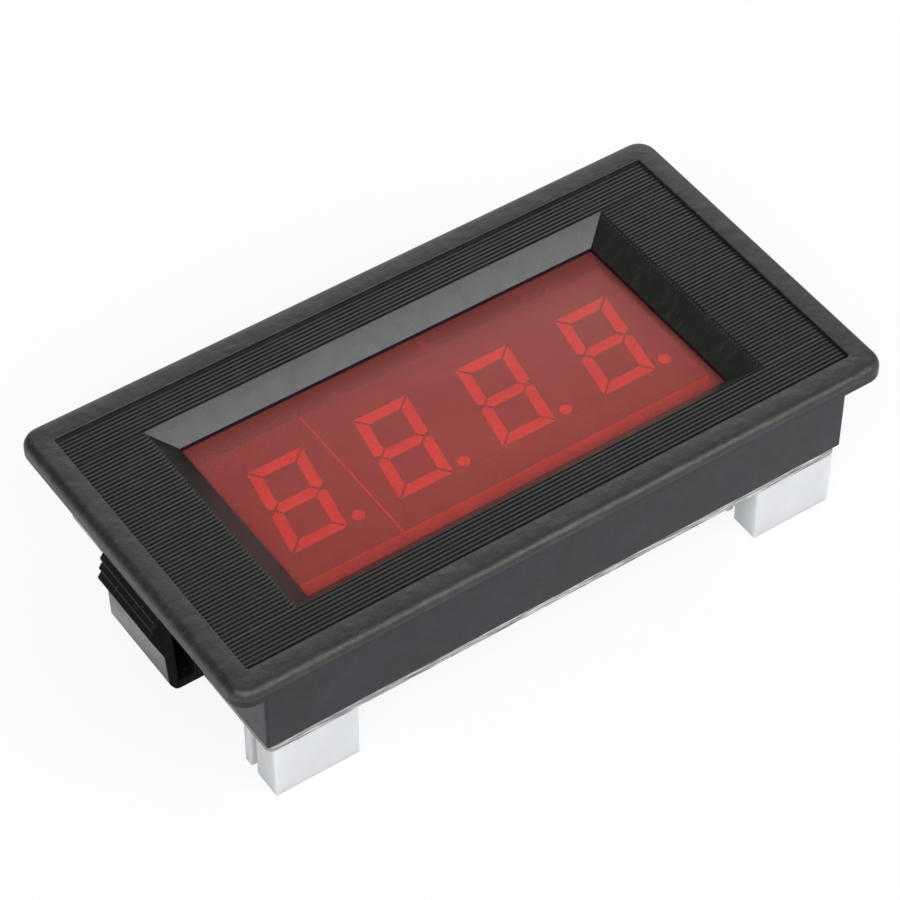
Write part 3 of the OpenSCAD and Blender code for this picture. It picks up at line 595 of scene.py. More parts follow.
def tinted_acrylic(name, settings, dyes, frost):
    """Red acrylic; frost is how far the etched skin's tone changes from grain to grain."""
    made, tree, place = new_finish(name)
    film = add_node(tree, "TexNoise", {"Scale": grain(8), "Detail": 3}, {"Vector": place})
    dye = add_node(tree, "ValToRGB", {"stops": [(0.3, dyes[0]), (0.7, dyes[1])]}, {"Fac": film})
    # the etched grain is a third of a millimetre across
    etching = {"Scale": grain(0.34), "Detail": 3, "Roughness": 0.6}
    hide = add_node(tree, "TexNoise", etching, {"Vector": place})
    limits = {"From Min": 0.3, "From Max": 0.7, "To Min": 1 - frost, "To Max": 1 + frost}
    frosted = add_node(tree, "MapRange", limits, {"Value": hide})
    toned = add_node(tree, "VectorMath", {"operation": "SCALE"}, {0: dye, "Scale": frosted})
    # specks of dust that show pale on the red
    speck = add_node(tree, "TexNoise", {"Scale": grain(0.16), "Detail": 1}, {"Vector": place})
    mask = add_node(tree, "MapRange", {"From Min": 0.765, "From Max": 0.8}, {"Value": speck})
    dusty = add_node(tree, "Mix", {"data_type": "RGBA", 7: linear("#f2c9b8")}, {0: mask, 6: toned})
    skin = add_node(tree, "Bump", {"Strength": 1, "Distance": 0.018 * MM}, {"Height": hide})
    return finished(made, {"IOR": 1.33, **settings}, {"Base Color": dusty.outputs[2], "Normal": skin})


# the back and the sawn edges are clear, and the displays show through in deep red
clear_red = tinted_acrylic(
    "red_acrylic_polished", {"Transmission Weight": 1.0, "Roughness": 0.02}, ("#fb2e2f", "#ff3434"), 0
)
# the etched front scatters light, so what lies behind it looks soft and a little paler
etched_red = tinted_acrylic("red_acrylic_etched", {
    "Transmission Weight": 0.8, "Roughness": 0.26, "Specular IOR Level": 0.05,
    "Specular Tint": linear("#ffbcae"),
}, ("#f87f79", "#ff8780"), 0.15)
window = soft_copy("filter_window", "red_window", 0.12, [clear_red, etched_red])
by_facing(window, (0, 0, 1), FRONT, 0.9)


# ---- Display modules ----
# Two LED modules, one digit and three digits, stand side by side behind the window. Each is a
# white moulded shell with its face painted grey; the segments are filled with milky epoxy and
# the leads are drawn steel wire, tinned.

def plain_finish(name, shades, rough, settings, patch_mm=3.0, grain_mm=0.2, depth_mm=0.004):
    """A finish with slow changes of tone, uneven gloss and a fine grain."""
    made, tree, place = new_finish(name)
    cloud = add_node(
        tree, "TexNoise", {"Scale": grain(patch_mm), "Detail": 4, "Roughness": 0.6}, {"Vector": place}
    )
    tone = add_node(tree, "ValToRGB", {"stops": [(0.3, shades[0]), (0.7, shades[1])]}, {"Fac": cloud})
    limits = {"From Min": 0.3, "From Max": 0.7, "To Min": rough[0], "To Max": rough[1]}
    gloss = add_node(tree, "MapRange", limits, {"Value": cloud})
    skin = raised(tree, place, (grain_mm, depth_mm))
    return finished(made, settings, {"Base Color": tone, "Roughness": gloss, "Normal": skin})


# bright white plastic with a soft gloss
white_shell = plain_finish("white_pc_moulded", ("#eeeeea", "#f4f4f0"), (0.4, 0.5), {"IOR": 1.58})
# matt grey-brown paint, so that the unlit segments stand out
grey_face = plain_finish("dark_face_paint", ("#585653", "#605e5b"), (0.5, 0.65), {"IOR": 1.5}, 6)
# cloudy resin that lets a little light in, so the segments look soft and even
milky_epoxy = plain_finish("milky_epoxy_cast", ("#eceae6", "#f4f2ee"), (0.35, 0.5), {
    "IOR": 1.55, "Subsurface Weight": 0.3, "Subsurface Scale": 0.4 * MM, "Subsurface Radius": (1, 0.8, 0.7),
})
METAL = {"Metallic": 1.0}
# pale metal whose gloss changes from spot to spot
tinned = plain_finish("tinned_steel_drawn", ("#c4c4c0", "#d4d3ce"), (0.22, 0.4), METAL, 1.0, 0.1, 0.002)


# how far a corner of a node may be from the side of its box
AT_SIDE = 0.01


def box_edges(node):
    """Picks out the edges that lie where two sides of the node's box meet."""
    sides = [(axis, end[axis]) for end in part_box(node) for axis in range(3)]

    def at_box_edge(edge):
        return sum(all(abs(v.co[axis] - at) < AT_SIDE * MM for v in edge.verts) for axis, at in sides) >= 2
    return at_box_edge


for size in ("single", "triple"):
    node = size + "_display_case"
    case = soft_copy(
        node, size + "_display_shell", 0.09, [white_shell, grey_face], keep=box_edges(node)
    )
    by_facing(case, (0, 0, 1), FRONT)
    soft_copy(size + "_display_segments", size + "_display_fillings", 0.13, [milky_epoxy])
    soft_copy(size + "_display_pins", size + "_display_leads", 0.08, [tinned])


# ---- Circuit board ----
# Glass-epoxy laminate 1.2 mm thick, milled to outline and drilled, with green solder mask on both
# sides; the sawn edge shows the pale laminate. The pins' and leads' solder stands on its back.

BOARD_BACK_Z = -10.9
BOARD_FRONT_Z = -9.7
MODULE_Y = 0.35
TALL_ROW_Y = 14.2
MASK, EDGE = 0, 1

LACQUER = {"IOR": 1.5, "Coat Weight": 0.2}
# deep green lacquer with a wet gloss and slow changes of tone
solder_mask = plain_finish("green_solder_mask", ("#1c5a34", "#23683d"), (0.22, 0.36), LACQUER, 9, 0.6, 0.006)


def sawn_edge(name, pale, dark):
    """Milled glass-epoxy: pale, with streaks of torn glass cloth along the edge, 0.1 mm thick."""
    made, tree, place = new_finish(name)
    lay = add_node(tree, "Mapping", {"Scale": (0.07, 0.07, 2.2)}, {"Vector": place})
    cloth = add_node(tree, "TexNoise", {"Scale": grain(0.2), "Detail": 3, "Roughness": 0.6}, {"Vector": lay})
    stops = [(0.38, dark), (0.49, pale[0]), (0.64, pale[1])]
    tone = add_node(tree, "ValToRGB", {"stops": stops}, {"Fac": cloth})
    skin = add_node(tree, "Bump", {"Strength": 1, "Distance": 0.03 * MM}, {"Height": cloth})
    return finished(made, {"IOR": 1.5, "Roughness": 0.6}, {"Base Color": tone, "Normal": skin})


# a pale cut edge with darker streaks of torn glass cloth
sawn_laminate = sawn_edge("glass_epoxy_sawn", ("#8c8c8d", "#d8d8d8"), "#454548")
# bright and smooth, with soft waves where it froze
solder_metal = plain_finish("solder_reflowed", ("#b2b4b6", "#c6c8ca"), (0.16, 0.34), METAL, 0.8, 0.3, 0.004)

board = soft_copy("main_pcb", "circuit_board", 0, [solder_mask, sawn_laminate])
for polygon in board.data.polygons:
    polygon.material_index = MASK if abs(polygon.normal.z) > 0.5 else EDGE


def stand(shell, place):
    """Turns a shell that stands on z = 0 over on to the back of the board, at place (x, y)."""
    shell.points = [(place[0] + x, place[1] - y, BOARD_BACK_Z - z) for x, y, z in shell.points]
    return shell


def spread(count, pitch, middle=0):
    """Places of like things in an even row about its middle."""
    return [middle + (i - (count - 1) / 2) * pitch for i in range(count)]


PIN_PITCH = 2.54
PIN_ROW = 15.24
SINGLE_X, TRIPLE_X = -19.1, 6.4
SINGLE_PINS, TRIPLE_PINS = 5, 6
HEADER_X = 29.9
CONTACT_Y = -16.9
CONTACT_PITCH = 2.5
CAN_X, TRIMMER_X, CRYSTAL_X = 20.5, 7, -7
CAN_PITCH, CRYSTAL_PITCH = 2.5, 4.9
pin_places = [
    (x, y) for middle, count in ((SINGLE_X, SINGLE_PINS), (TRIPLE_X, TRIPLE_PINS))
    for y in spread(2, PIN_ROW, MODULE_Y) for x in spread(count, PIN_PITCH, middle)
]
front_leads = [(x, CONTACT_Y) for side in (-1, 1) for x in spread(3, CONTACT_PITCH, side * HEADER_X)]
for middle, pitch in ((-CAN_X, CAN_PITCH), (CAN_X, CAN_PITCH), (CRYSTAL_X, CRYSTAL_PITCH)):
    front_leads += [(x, TALL_ROW_Y) for x in spread(2, pitch, middle)]
front_leads += [
    (TRIMMER_X + i * PIN_PITCH, TALL_ROW_Y + (-1 if i else 1) * PIN_PITCH / 2) for i in (-1, 0, 1)
]
# solder climbs the lead in a hollow curve
MENISCUS = [(0.9, 0), (0.88, 0.04), (0.66, 0.12), (0.49, 0.28), (0.39, 0.48), (0.33, 0.66), (0.28, 0.7)]
joints = [stand(lathed(MENISCUS, steps=24), p) for p in pin_places]
joints += [lathed([(r, z + BOARD_FRONT_Z) for r, z in MENISCUS], p, 24) for p in front_leads]
settle(solid("solder_fillets", joints), "solder_joints", [solder_metal], smooth=40)


# ---- Board screws ----
# Four pan-head steel screws, zinc plated, with a cross recess pressed into the head; they hold
# the board on the housing's bosses.

SHANK_LENGTH = 7
RECESS_HALF = ((1.05, 0.25), (0.25, 1.05))
RECESS_FLOOR, RECESS_TOP = 0.45, 1.5
# bluish grey metal with a soft sheen
zinc = plain_finish("zinc_plated_steel", ("#a9adb2", "#bdc1c6"), (0.24, 0.4), METAL, 1.5, 0.1, 0.002)
HEAD = [
    (0.9, -SHANK_LENGTH), (0.9, -0.05), (1.9, 0), (1.9, 0.42), (1.83, 0.72), (1.62, 1.0), (1.25, 1.19),
    (0.8, 1.27), (0.3, 1.3),
]
screws = solid("pan_head_screws", [stand(lathed(HEAD, steps=36), p) for p in SCREWS])
combine(screws, [
    stand(skinned([outline((w * 0.45, h * 0.8), RECESS_FLOOR, 0), outline((w, h), RECESS_TOP, 0)]), p)
    for p in SCREWS for w, h in RECESS_HALF
], "DIFFERENCE")
settle(screws, "pcb_screws", [zinc])


# ---- Plug headers ----
# Two three-way headers stand on the back of the board: natural nylon shells, moulded, a little
# translucent, and square pins of tinned bronze pressed through their floors.

# milky plastic; the light that gets into it softens its edges
nylon = plain_finish("natural_nylon_moulded", ("#c8cbcf", "#cfd2d5"), (0.36, 0.48), {
    "IOR": 1.53, "Subsurface Weight": 0.8, "Subsurface Scale": 2.4 * MM, "Subsurface Radius": (0.8, 1, 1),
}, 4, 0.25, 0.006)
# warm bright metal
bronze = plain_finish("tinned_bronze_pin", ("#cfc6ac", "#dad2bc"), (0.18, 0.3), METAL, 1, 0.1, 0.002)
for side in ("left", "right"):
    soft_copy(side + "_header_housing", side + "_header_shell", 0.26, [nylon], steps=3)
    soft_copy(side + "_header_pins", side + "_header_contacts", 0.12, [bronze])


# ---- Mounting clips ----
# A black acetal clip slides in the channel of each end wall. Its spring arm bends round at the rear
# and comes back beside the wall; the teeth at its free end grip behind the panel.

# smoother and blacker than the housing
clip_acetal = moulded_black(
    "black_acetal_moulded", ("#111112", "#161617"), (0.2, 0.3), 0.3, 0.003, 0.12, 0.23
)
# the ends that look along the channel are near black and dull: painted shade for the dark they lie in under
# the flange
clip_ends_painted_shade = moulded_black(
    "black_acetal_ends_painted_shade", ("#0b0b0b", "#0f0f0f"), (0.65, 0.8), 0.3, 0.006, 0.12, 0.05
)
for side in ("left", "right"):
    clip = soft_copy(
        side + "_mounting_clip", side + "_panel_clip", 0.07, [clip_acetal, clip_ends_painted_shade],
        body=side + "_clip", smooth=25
    )
    # the faces that look along the channel, both ways, take the near-black finish: painted shade
    for way in (-1, 1):
        by_facing(clip, (0, way, 0), FRONT)


# ---- Chips and transistors ----
# Transfer-moulded epoxy bodies with drafted sides and a matte skin; the leads are tinned copper
# strip, bent down to the board. A dimple marks the first pin.

# matt charcoal with a sandy skin
moulding_compound = plain_finish(
    "epoxy_compound_moulded", ("#29292b", "#323234"), (0.55, 0.7), {"IOR": 1.55}, 2, 0.08, 0.008
)
# flat pale leads with a satin skin
lead_frame = plain_finish(
    "tinned_copper_strip", ("#bfc0c0", "#d0d1d0"), (0.24, 0.42), METAL, 0.6, 0.08, 0.003
)
CHIP_CLEAR = 0.1
CHIP_DRAFT = 0.12
CHIP_EDGE = 0.08
CHIP_CORNER_R = 0.12
STRIP_T = 0.18
STRIP_BEND = 0.16
STRIP_RUB = 0.2 * STRIP_T


def drafted_body(w, d, t, parting, draft, edge):
    """A moulded body: widest at the parting line, drawn in by the draft, its top edge softened."""
    levels = [
        (draft * 0.8, 0), (0, parting), (draft - edge * 0.25, t - edge),
        (draft + edge * 0.3, t - edge * 0.25), (draft + edge, t),
    ]
    half = (w / 2, d / 2)
    return skinned([outline(half, CHIP_CLEAR + z, CHIP_CORNER_R, inset) for inset, z in levels])


def turned(u, v, degrees):
    """A point (u, v) turned about the origin."""
    c, s = math.cos(math.radians(degrees)), math.sin(math.radians(degrees))
    return u * c - v * s, u * s + v * c


def bent_strip(path, width, start, turn):
    """A strip of lead frame along a path of (outwards, up) points, from start, turned in degrees."""
    rings = []
    for i, (u, z) in enumerate(path):
        a, b = path[max(i - 1, 0)], path[min(i + 1, len(path) - 1)]
        length = math.hypot(b[0] - a[0], b[1] - a[1])
        nu, nz = -(b[1] - a[1]) / length, (b[0] - a[0]) / length
        ring = []
        for v, n in ((-1, -1), (1, -1), (1, 1), (-1, 1)):
            out = STRIP_T / 2 * n
            # the strip's upper corners are rubbed off a little
            x, y = turned(u + nu * out, v * (width / 2 - STRIP_RUB * (n > 0)), turn)
            ring.append((start[0] + x, start[1] + y, z + nz * out))
        rings.append(ring)
    return skinned(rings)


def gull_path(reach, height):
    """Centre line of a gull-wing lead with round bends."""
    top, low = height - STRIP_T / 2, STRIP_T / 2
    knee, foot = (reach * 0.35, top), (reach * 0.56, low)
    slope = math.dist(knee, foot)
    du, dz = ((f - k) / slope * STRIP_BEND for k, f in zip(knee, foot))
    first = fillet((knee[0] - STRIP_BEND, top), knee, (knee[0] + du, top + dz), 4)
    second = fillet((foot[0] - du, low - dz), foot, (foot[0] + STRIP_BEND, low), 4)
    return [(-0.15, top)] + first + second + [(reach, low)]


def lead_rows(across, count, pitch, reach, width, height, turns):
    """Rows of leads on the sides of a body so wide; a turn of 0 is the +X side."""
    path = gull_path(reach, height)
    places = [(turned(across / 2, v, turn), turn) for turn in turns for v in spread(count, pitch)]
    return [bent_strip(path, width, *place) for place in places]


CONTROLLER_X = 6.4
DRIVERS_X = (-8.6, 20.6)
AMPLIFIER_X = SINGLE_X
REGULATOR = (-14.5, -14)
TRANSISTORS = [(x, -12.2) for x in spread(4, 4.6, 11.4)]
DIMPLE_R = 0.35
DIMPLE_IN = 0.8
LEAD_Z = 0.85
SOIC_W, SOIC_T = 3.9, 1.45
SOIC_LEADS = (1.27, 1.05, 0.4, LEAD_Z, (0, 180))
chips = [
    # name, places, width, depth, thickness, first pin marked, rows of leads as lead_rows takes them
    ("controller", [(CONTROLLER_X, MODULE_Y)], 7, 7, 1.4, True,
     [(7, 12, 0.5, 1.0, 0.22, LEAD_Z, (0, 90, 180, 270))]),
    ("driver", [(x, MODULE_Y) for x in DRIVERS_X], SOIC_W, 9.9, SOIC_T, True, [(SOIC_W, 8, *SOIC_LEADS)]),
    ("amplifier", [(AMPLIFIER_X, MODULE_Y)], SOIC_W, 4.9, SOIC_T, True, [(SOIC_W, 4, *SOIC_LEADS)]),
    ("regulator", [REGULATOR], 6.5, 3.5, 1.6, False,
     [(3.5, 3, 2.3, 1.75, 0.7, LEAD_Z, (90,)), (3.5, 1, 1, 1.75, 3.0, LEAD_Z, (270,))]),
    ("transistor", TRANSISTORS, 2.9, 1.3, 0.95, False,
     [(1.3, 2, 1.9, 0.55, 0.4, 0.6, (90,)), (1.3, 1, 1, 0.55, 0.4, 0.6, (270,))]),
]
for kind, places, w, d, t, marked, rows in chips:
    parting = rows[0][5] - STRIP_T / 2 - CHIP_CLEAR
    bodies = [stand(drafted_body(w, d, t, parting, CHIP_DRAFT, CHIP_EDGE), place) for place in places]
    piece = solid(kind + "_mouldings", bodies)
    if marked:
        top = CHIP_CLEAR + t
        dimple = [
            (0.12, top - 0.08), (DIMPLE_R - 0.05, top - 0.05), (DIMPLE_R, top + 0.01), (DIMPLE_R, top + 0.2)
        ]
        corner = (w / 2 - DIMPLE_IN, d / 2 - DIMPLE_IN)
        combine(piece, [stand(lathed(dimple, corner, 24), place) for place in places], "DIFFERENCE")
    settle(piece, kind + ("_bodies" if len(places) > 1 else "_body"), [moulding_compound])
    leads = [stand(lead, place) for place in places for row in rows for lead in lead_rows(*row)]
    settle(solid(kind + "_strip_leads", leads), kind + "_leads", [lead_frame])


# ---- Diode ----
# A moulded rectifier; its strips leave the ends at half height and fold in under the body. A
# grey band of ink marks the cathode end.

DIODE = (-4, -15.6)
DIODE_L, DIODE_W, DIODE_T = 4.3, 2.6, 2.1
BAND_IN, BAND_W, BAND_H = 0.42, 0.53, 0.01
# a matt pale grey band
grey_ink = plain_finish("grey_ink_printed", ("#8e9094", "#9b9da1"), (0.5, 0.6), {"IOR": 1.5}, 1, 0.12, 0.004)
band_x, band_y = BAND_IN - DIODE_L / 2, DIODE_W / 2 - 0.26
top = CHIP_CLEAR + DIODE_T
body = drafted_body(DIODE_L, DIODE_W, DIODE_T, 0.95, 0.14, 0.1)
body.take(block((band_x, -band_y, top - 0.02), (band_x + BAND_W, band_y, top + BAND_H), 1))
body = solid("diode_moulding", [stand(body, DIODE)])
settle(body, "diode_body", [moulding_compound, grey_ink])
fold = [
    (-0.1, 1.05), (0.0, 1.05), (0.06, 1.02), (0.1, 0.94), (0.11, 0.85), (0.11, 0.3), (0.1, 0.16),
    (0.02, 0.09), (-0.1, 0.09), (-0.85, 0.09),
]
strips = [stand(bent_strip(fold, 1.4, (s * DIODE_L / 2, 0), turn), DIODE) for s, turn in ((1, 0), (-1, 180))]
settle(solid("diode_strips", strips), "diode_leads", [lead_frame], smooth=40)


# ---- Crystal ----
# A drawn steel can, nickel plated, resistance-welded to its flanged base; two wire leads go
# through the board.

# warm grey metal, a soft mirror with shallow waves where it was drawn
nickel = plain_finish("nickel_plated_can", ("#b4b2ac", "#c2c0ba"), (0.18, 0.3), METAL, 3, 0.3, 0.003)
CAN_HALF = (5.1, 1.85)
can = skinned([
    outline(CAN_HALF, z, CAN_HALF[1] - 0.01 - max(inset, 0), inset)
    for inset, z in ((-0.12, 0.5), (0, 0.62), (0, 3.05), (0.06, 3.3), (0.2, 3.5), (0.42, 3.59), (0.6, 3.6))
])
can = solid("crystal_drawn_can", [stand(can, (CRYSTAL_X, TALL_ROW_Y))])
settle(can, "crystal_can", [nickel], smooth=40)
soft_copy("crystal_base", "crystal_flange", 0.1, [nickel], smooth=40)
soft_copy("crystal_leads", "crystal_wires", 0.06, [tinned], smooth=40)


# ---- Trimmer ----
# A blue moulded potentiometer with a cream nylon screw that turns in a recess in its top; three
# wire leads go through the board.

# strong blue with a satin gloss
blue_pbt = plain_finish(
    "blue_pbt_moulded", ("#1f4f9c", "#265aa9"), (0.34, 0.46), {"IOR": 1.55}, 3, 0.15, 0.005
)
# cream, a little duller than the case
cream_nylon = plain_finish(
    "cream_nylon_moulded", ("#dedaca", "#e8e4d6"), (0.38, 0.5), {"IOR": 1.53}, 2, 0.15, 0.005
)
soft_copy("trimmer_body", "trimmer_case", 0.18, [blue_pbt], steps=3)
soft_copy("trimmer_rotor", "trimmer_dial", 0.1, [cream_nylon], body="trimmer_screw")
soft_copy("trimmer_pins", "trimmer_wires", 0.06, [tinned], smooth=40)


# ---- Electrolytic capacitors ----
# Drawn aluminium cans in a shrunk plastic sleeve, crimped on a rubber bung. The sleeve's edge
# folds over the rim of the bare top, which is scored so that it can vent.

# dark blue film, glossy and a little rippled where it shrank
sleeve = plain_finish(
    "blue_pvc_shrunk", ("#22304d", "#2a3a5a"), (0.22, 0.34), {"IOR": 1.53}, 2.5, 0.4, 0.006
)
# the printed stripe is a pale blue-grey
sleeve_band = plain_finish(
    "grey_pvc_print", ("#8f9bb0", "#9ba6b9"), (0.26, 0.38), {"IOR": 1.53}, 2.5, 0.4, 0.006
)
# pale satin metal
bare_top = plain_finish("aluminium_rolled", ("#c4c6c8", "#d2d3d5"), (0.28, 0.42), METAL, 2, 0.12, 0.004)
# matt black
rubber = plain_finish(
    "butyl_rubber_pressed", ("#1a1a1a", "#202020"), (0.6, 0.75), {"IOR": 1.5}, 2, 0.15, 0.01
)
SLEEVE, BAND, BARE = range(3)
CAN_STEPS = 48
BAND_SPOKES = range(6, 14)
SCORE_HALF = ((1.9, 0.07), (0.07, 1.9))
SCORE_FLOOR, SCORE_TOP = 6.87, 7.2
# the last two steps of the profile are the edge of the sleeve and the bare top
profile = [
    (2.5, 0.1), (2.95, 0.12), (3.1, 0.22), (3.14, 0.4), (3.14, 1.2), (3.08, 1.42), (2.9, 1.65), (2.83, 1.9),
    (2.9, 2.15), (3.08, 2.38), (3.15, 2.6), (3.15, 6.4), (3.1, 6.7), (2.96, 6.9), (2.75, 7.0), (2.55, 6.985),
    (2.5, 6.93),
]
sleeved = [BAND if spoke in BAND_SPOKES else SLEEVE for spoke in range(CAN_STEPS)] * (len(profile) - 2)
cans, scores = [], []
for place in ((-CAN_X, TALL_ROW_Y), (CAN_X, TALL_ROW_Y)):
    can = lathed(profile, steps=CAN_STEPS, finish=BARE)
    can.finish[:len(sleeved)] = sleeved
    cans.append(stand(can, place))
    scores += [
        stand(block((-w, -h, SCORE_FLOOR), (w, h, SCORE_TOP), BARE), place) for w, h in SCORE_HALF
    ]
cans_piece = solid("capacitor_sleeved_cans", cans, 3)
combine(cans_piece, scores, "DIFFERENCE", 3)
settle(cans_piece, "capacitor_cans", [sleeve, sleeve_band, bare_top], smooth=35)
soft_copy("capacitor_bungs", "capacitor_plugs", 0.1, [rubber], smooth=40)
soft_copy("capacitor_leads", "capacitor_wires", 0.06, [tinned], smooth=40)


# ---- Chip resistors and chip capacitors ----
# Small ceramic blocks with tinned caps on both ends: the resistors have a black glaze on white
# alumina, the capacitors are fired tan.

# chalky white sides
alumina = plain_finish(
    "alumina_fired", ("#dad9d2", "#e6e5df"), (0.5, 0.62), {"IOR": 1.6}, 0.5, 0.08, 0.004
)
# a glassy black top
black_glaze = plain_finish(
    "black_glass_glaze", ("#18181a", "#202022"), (0.22, 0.34), {"IOR": 1.55}, 0.6, 0.1, 0.003
)
# satin tan, sides and top
tan_ceramic = plain_finish(
    "titanate_fired", ("#9c7f58", "#ac8e66"), (0.42, 0.55), {"IOR": 1.6}, 0.5, 0.08, 0.004
)
CHIP_L, CHIP_W = 2.0, 1.25
RESISTORS_X, RESISTOR_PITCH = (-2.5, 14.1), 2.1
CAPACITORS_X, CAPACITOR_PITCH = (-28, 28), 2.6


def chip_part(t, cap_l, sides, top):
    """A ceramic block between two end caps; sides, top and caps have their own finishes."""
    half, shy = CHIP_L / 2, 0.03
    made = block((0.05 - half, shy - CHIP_W / 2, shy), (half - 0.05, CHIP_W / 2 - shy, t - shy), sides)
    made.finish[-1] = top
    for s in (-1, 1):
        x0, x1 = s * (half - cap_l), s * half
        rings = []
        steps = ((x0, 0.02), (x0 + s * 0.03, 0), (x1 - s * 0.08, 0), (x1 - s * 0.02, 0.03), (x1, 0.09))
        for x, inset in steps:
            w = CHIP_W / 2 - inset
            rings.append([(x, -w, inset), (x, w, inset), (x, w, t - inset), (x, -w, t - inset)])
        made.take(skinned(rings))
    return made


def chip_row(xs, count, pitch, *shape):
    """Chip parts in columns about the middle of the display modules."""
    return [stand(chip_part(*shape), (x, y)) for x in xs for y in spread(count, pitch, MODULE_Y)]


resistors = solid("glazed_resistors", chip_row(RESISTORS_X, 5, RESISTOR_PITCH, 0.5, 0.4, 1, 2))
settle(resistors, "chip_resistors", [lead_frame, alumina, black_glaze], smooth=40)
capacitors = solid("fired_capacitors", chip_row(CAPACITORS_X, 3, CAPACITOR_PITCH, 0.9, 0.45, 1, 1))
settle(capacitors, "chip_capacitors", [lead_frame, tan_ceramic], smooth=40)


# ---- Copper tracks and white print ----
# Etched copper under the green mask links the parts on the back: narrow tracks for signals, wide
# ones for the supply. Bare pads and the rims of the plated holes are tinned. The outlines of the
# parts are screened on in white ink.

# where copper lies under it, the mask looks paler
masked_copper = plain_finish(
    "green_mask_on_copper", ("#2f7d48", "#38894f"), (0.22, 0.34), LACQUER, 5, 0.6, 0.004
)
# matt white, a little uneven
white_ink = plain_finish(
    "white_ink_printed", ("#dcdcd2", "#e8e8e0"), (0.5, 0.6), {"IOR": 1.5}, 1, 0.12, 0.006
)
TINNED = 1
TRACK_H, PAD_H, INK_H = 0.045, 0.06, 0.02
PAD_CORNER_R = 0.08
# tracks, pads and print start this far under the board's surface
SUNK = 0.01
THIN, NARROW, MEDIUM, BROAD, WIDE = 0.28, 0.36, 0.5, 0.7, 0.9
CORNER_CUT = 0.45
# a corner takes no more than this share of the stretch beside it
CUT_SHARE = 0.45


def flat_line(points, width, height, closed=False):
    """A flat strip of this width and height on the board's back, along a line of (x, y) points."""
    points = [p for i, p in enumerate(points) if i == 0 or math.dist(p, points[i - 1]) > 0.01]
    rings = []
    for i, (x, y) in enumerate(points):
        ways = []
        for a, b in ((i - 1, i), (i, (i + 1) % len(points))):
            if closed or 0 <= a < b:
                length = math.dist(points[a], points[b])
                ways.append([(q - p) / length for p, q in zip(points[a], points[b])])
        dx, dy = (sum(way[k] for way in ways) for k in (0, 1))
        # the strip is wider across a corner, so that its sides keep their distance
        reach = width / 2 / (dx * ways[0][0] + dy * ways[0][1])
        rings.append([
            (x - side * dy * reach, y + side * dx * reach, BOARD_BACK_Z - z)
            for side, z in ((1, -SUNK), (1, height), (-1, height), (-1, -SUNK))
        ])
    made = skinned(rings)
    if closed:
        # the last ring meets the first, in place of the two ends
        del made.faces[-2:], made.finish[-2:]
        count = len(made.points)
        made.loft([count - 4, count - 3, count - 2, count - 1], [0, 1, 2, 3])
    return made


def track(points, width=THIN, cut=CORNER_CUT):
    """A track with its square corners cut; a narrow one is a hair higher, and covers a wide one."""
    made = [points[0]]
    for a, b, c in zip(points, points[1:], points[2:]):
        for end in (a, c):
            length = math.dist(end, b)
            step = min(cut, length * CUT_SHARE) / length
            made.append((b[0] + (end[0] - b[0]) * step, b[1] + (end[1] - b[1]) * step))
    return flat_line(made + [points[-1]], width, TRACK_H * (1 - 0.12 * width))


def via(x, y):
    """A plated hole under the mask: a low ring with a dimple in it."""
    profile = [(0.42, 0), (0.4, 0.045), (0.3, 0.06), (0.17, 0.055), (0.11, 0.02)]
    return stand(lathed(profile, steps=20), (x, y))


def to_hole(points, width=THIN):
    """A track that ends at a plated hole."""
    return [track(points, width), via(*points[-1])]


def slanted(x0, y0, x1, y1, lead):
    """A track that leaves straight, crosses over at 45 degrees and goes on straight."""
    side = 1 if x1 > x0 else -1
    knee = x0 + side * lead
    return track([(x0, y0), (knee, y0), (knee + side * abs(y1 - y0), y1), (x1, y1)], cut=0)


def pads(xs, ys, w, d):
    """Bare pads where these columns and rows cross, with broken corners, a little over the mask."""
    rings = [
        outline((w / 2, d / 2), z, PAD_CORNER_R, inset)
        for z, inset in ((-SUNK, 0), (PAD_H * 0.7, 0), (PAD_H, 0.04))
    ]
    return [stand(skinned(rings, TINNED), (x, y)) for x in xs for y in ys]


copper = []
# the gull leads' feet: chips in the row of the displays, then the small parts by the headers
for x, count in ((DRIVERS_X[0], 8), (DRIVERS_X[1], 8), (AMPLIFIER_X, 4)):
    copper += pads(spread(2, 5.5, x), spread(count, 1.27, MODULE_Y), 1.1, 0.62)
copper += pads(spread(2, 8.6, CONTROLLER_X), spread(12, 0.5, MODULE_Y), 0.9, 0.3)
copper += pads(spread(12, 0.5, CONTROLLER_X), spread(2, 8.6, MODULE_Y), 0.3, 0.9)
chip_columns = [(x, spread(5, RESISTOR_PITCH, MODULE_Y)) for x in RESISTORS_X]
chip_columns += [(x, spread(3, CAPACITOR_PITCH, MODULE_Y)) for x in CAPACITORS_X]
for x, rows in chip_columns:
    copper += pads(spread(2, 1.9, x), rows, 0.9, 1.45)
for x, y in TRANSISTORS:
    copper += pads(spread(2, 1.9, x), [y - 1.15], 0.7, 0.8) + pads([x], [y + 1.15], 0.7, 0.8)
x, y = REGULATOR
copper += pads(spread(3, 2.3, x), [y - 3.1], 1.0, 1.5) + pads([x], [y + 3.1], 3.5, 1.5)
copper += pads(spread(2, 4.6, DIODE[0]), [DIODE[1]], 1.6, 2.1)

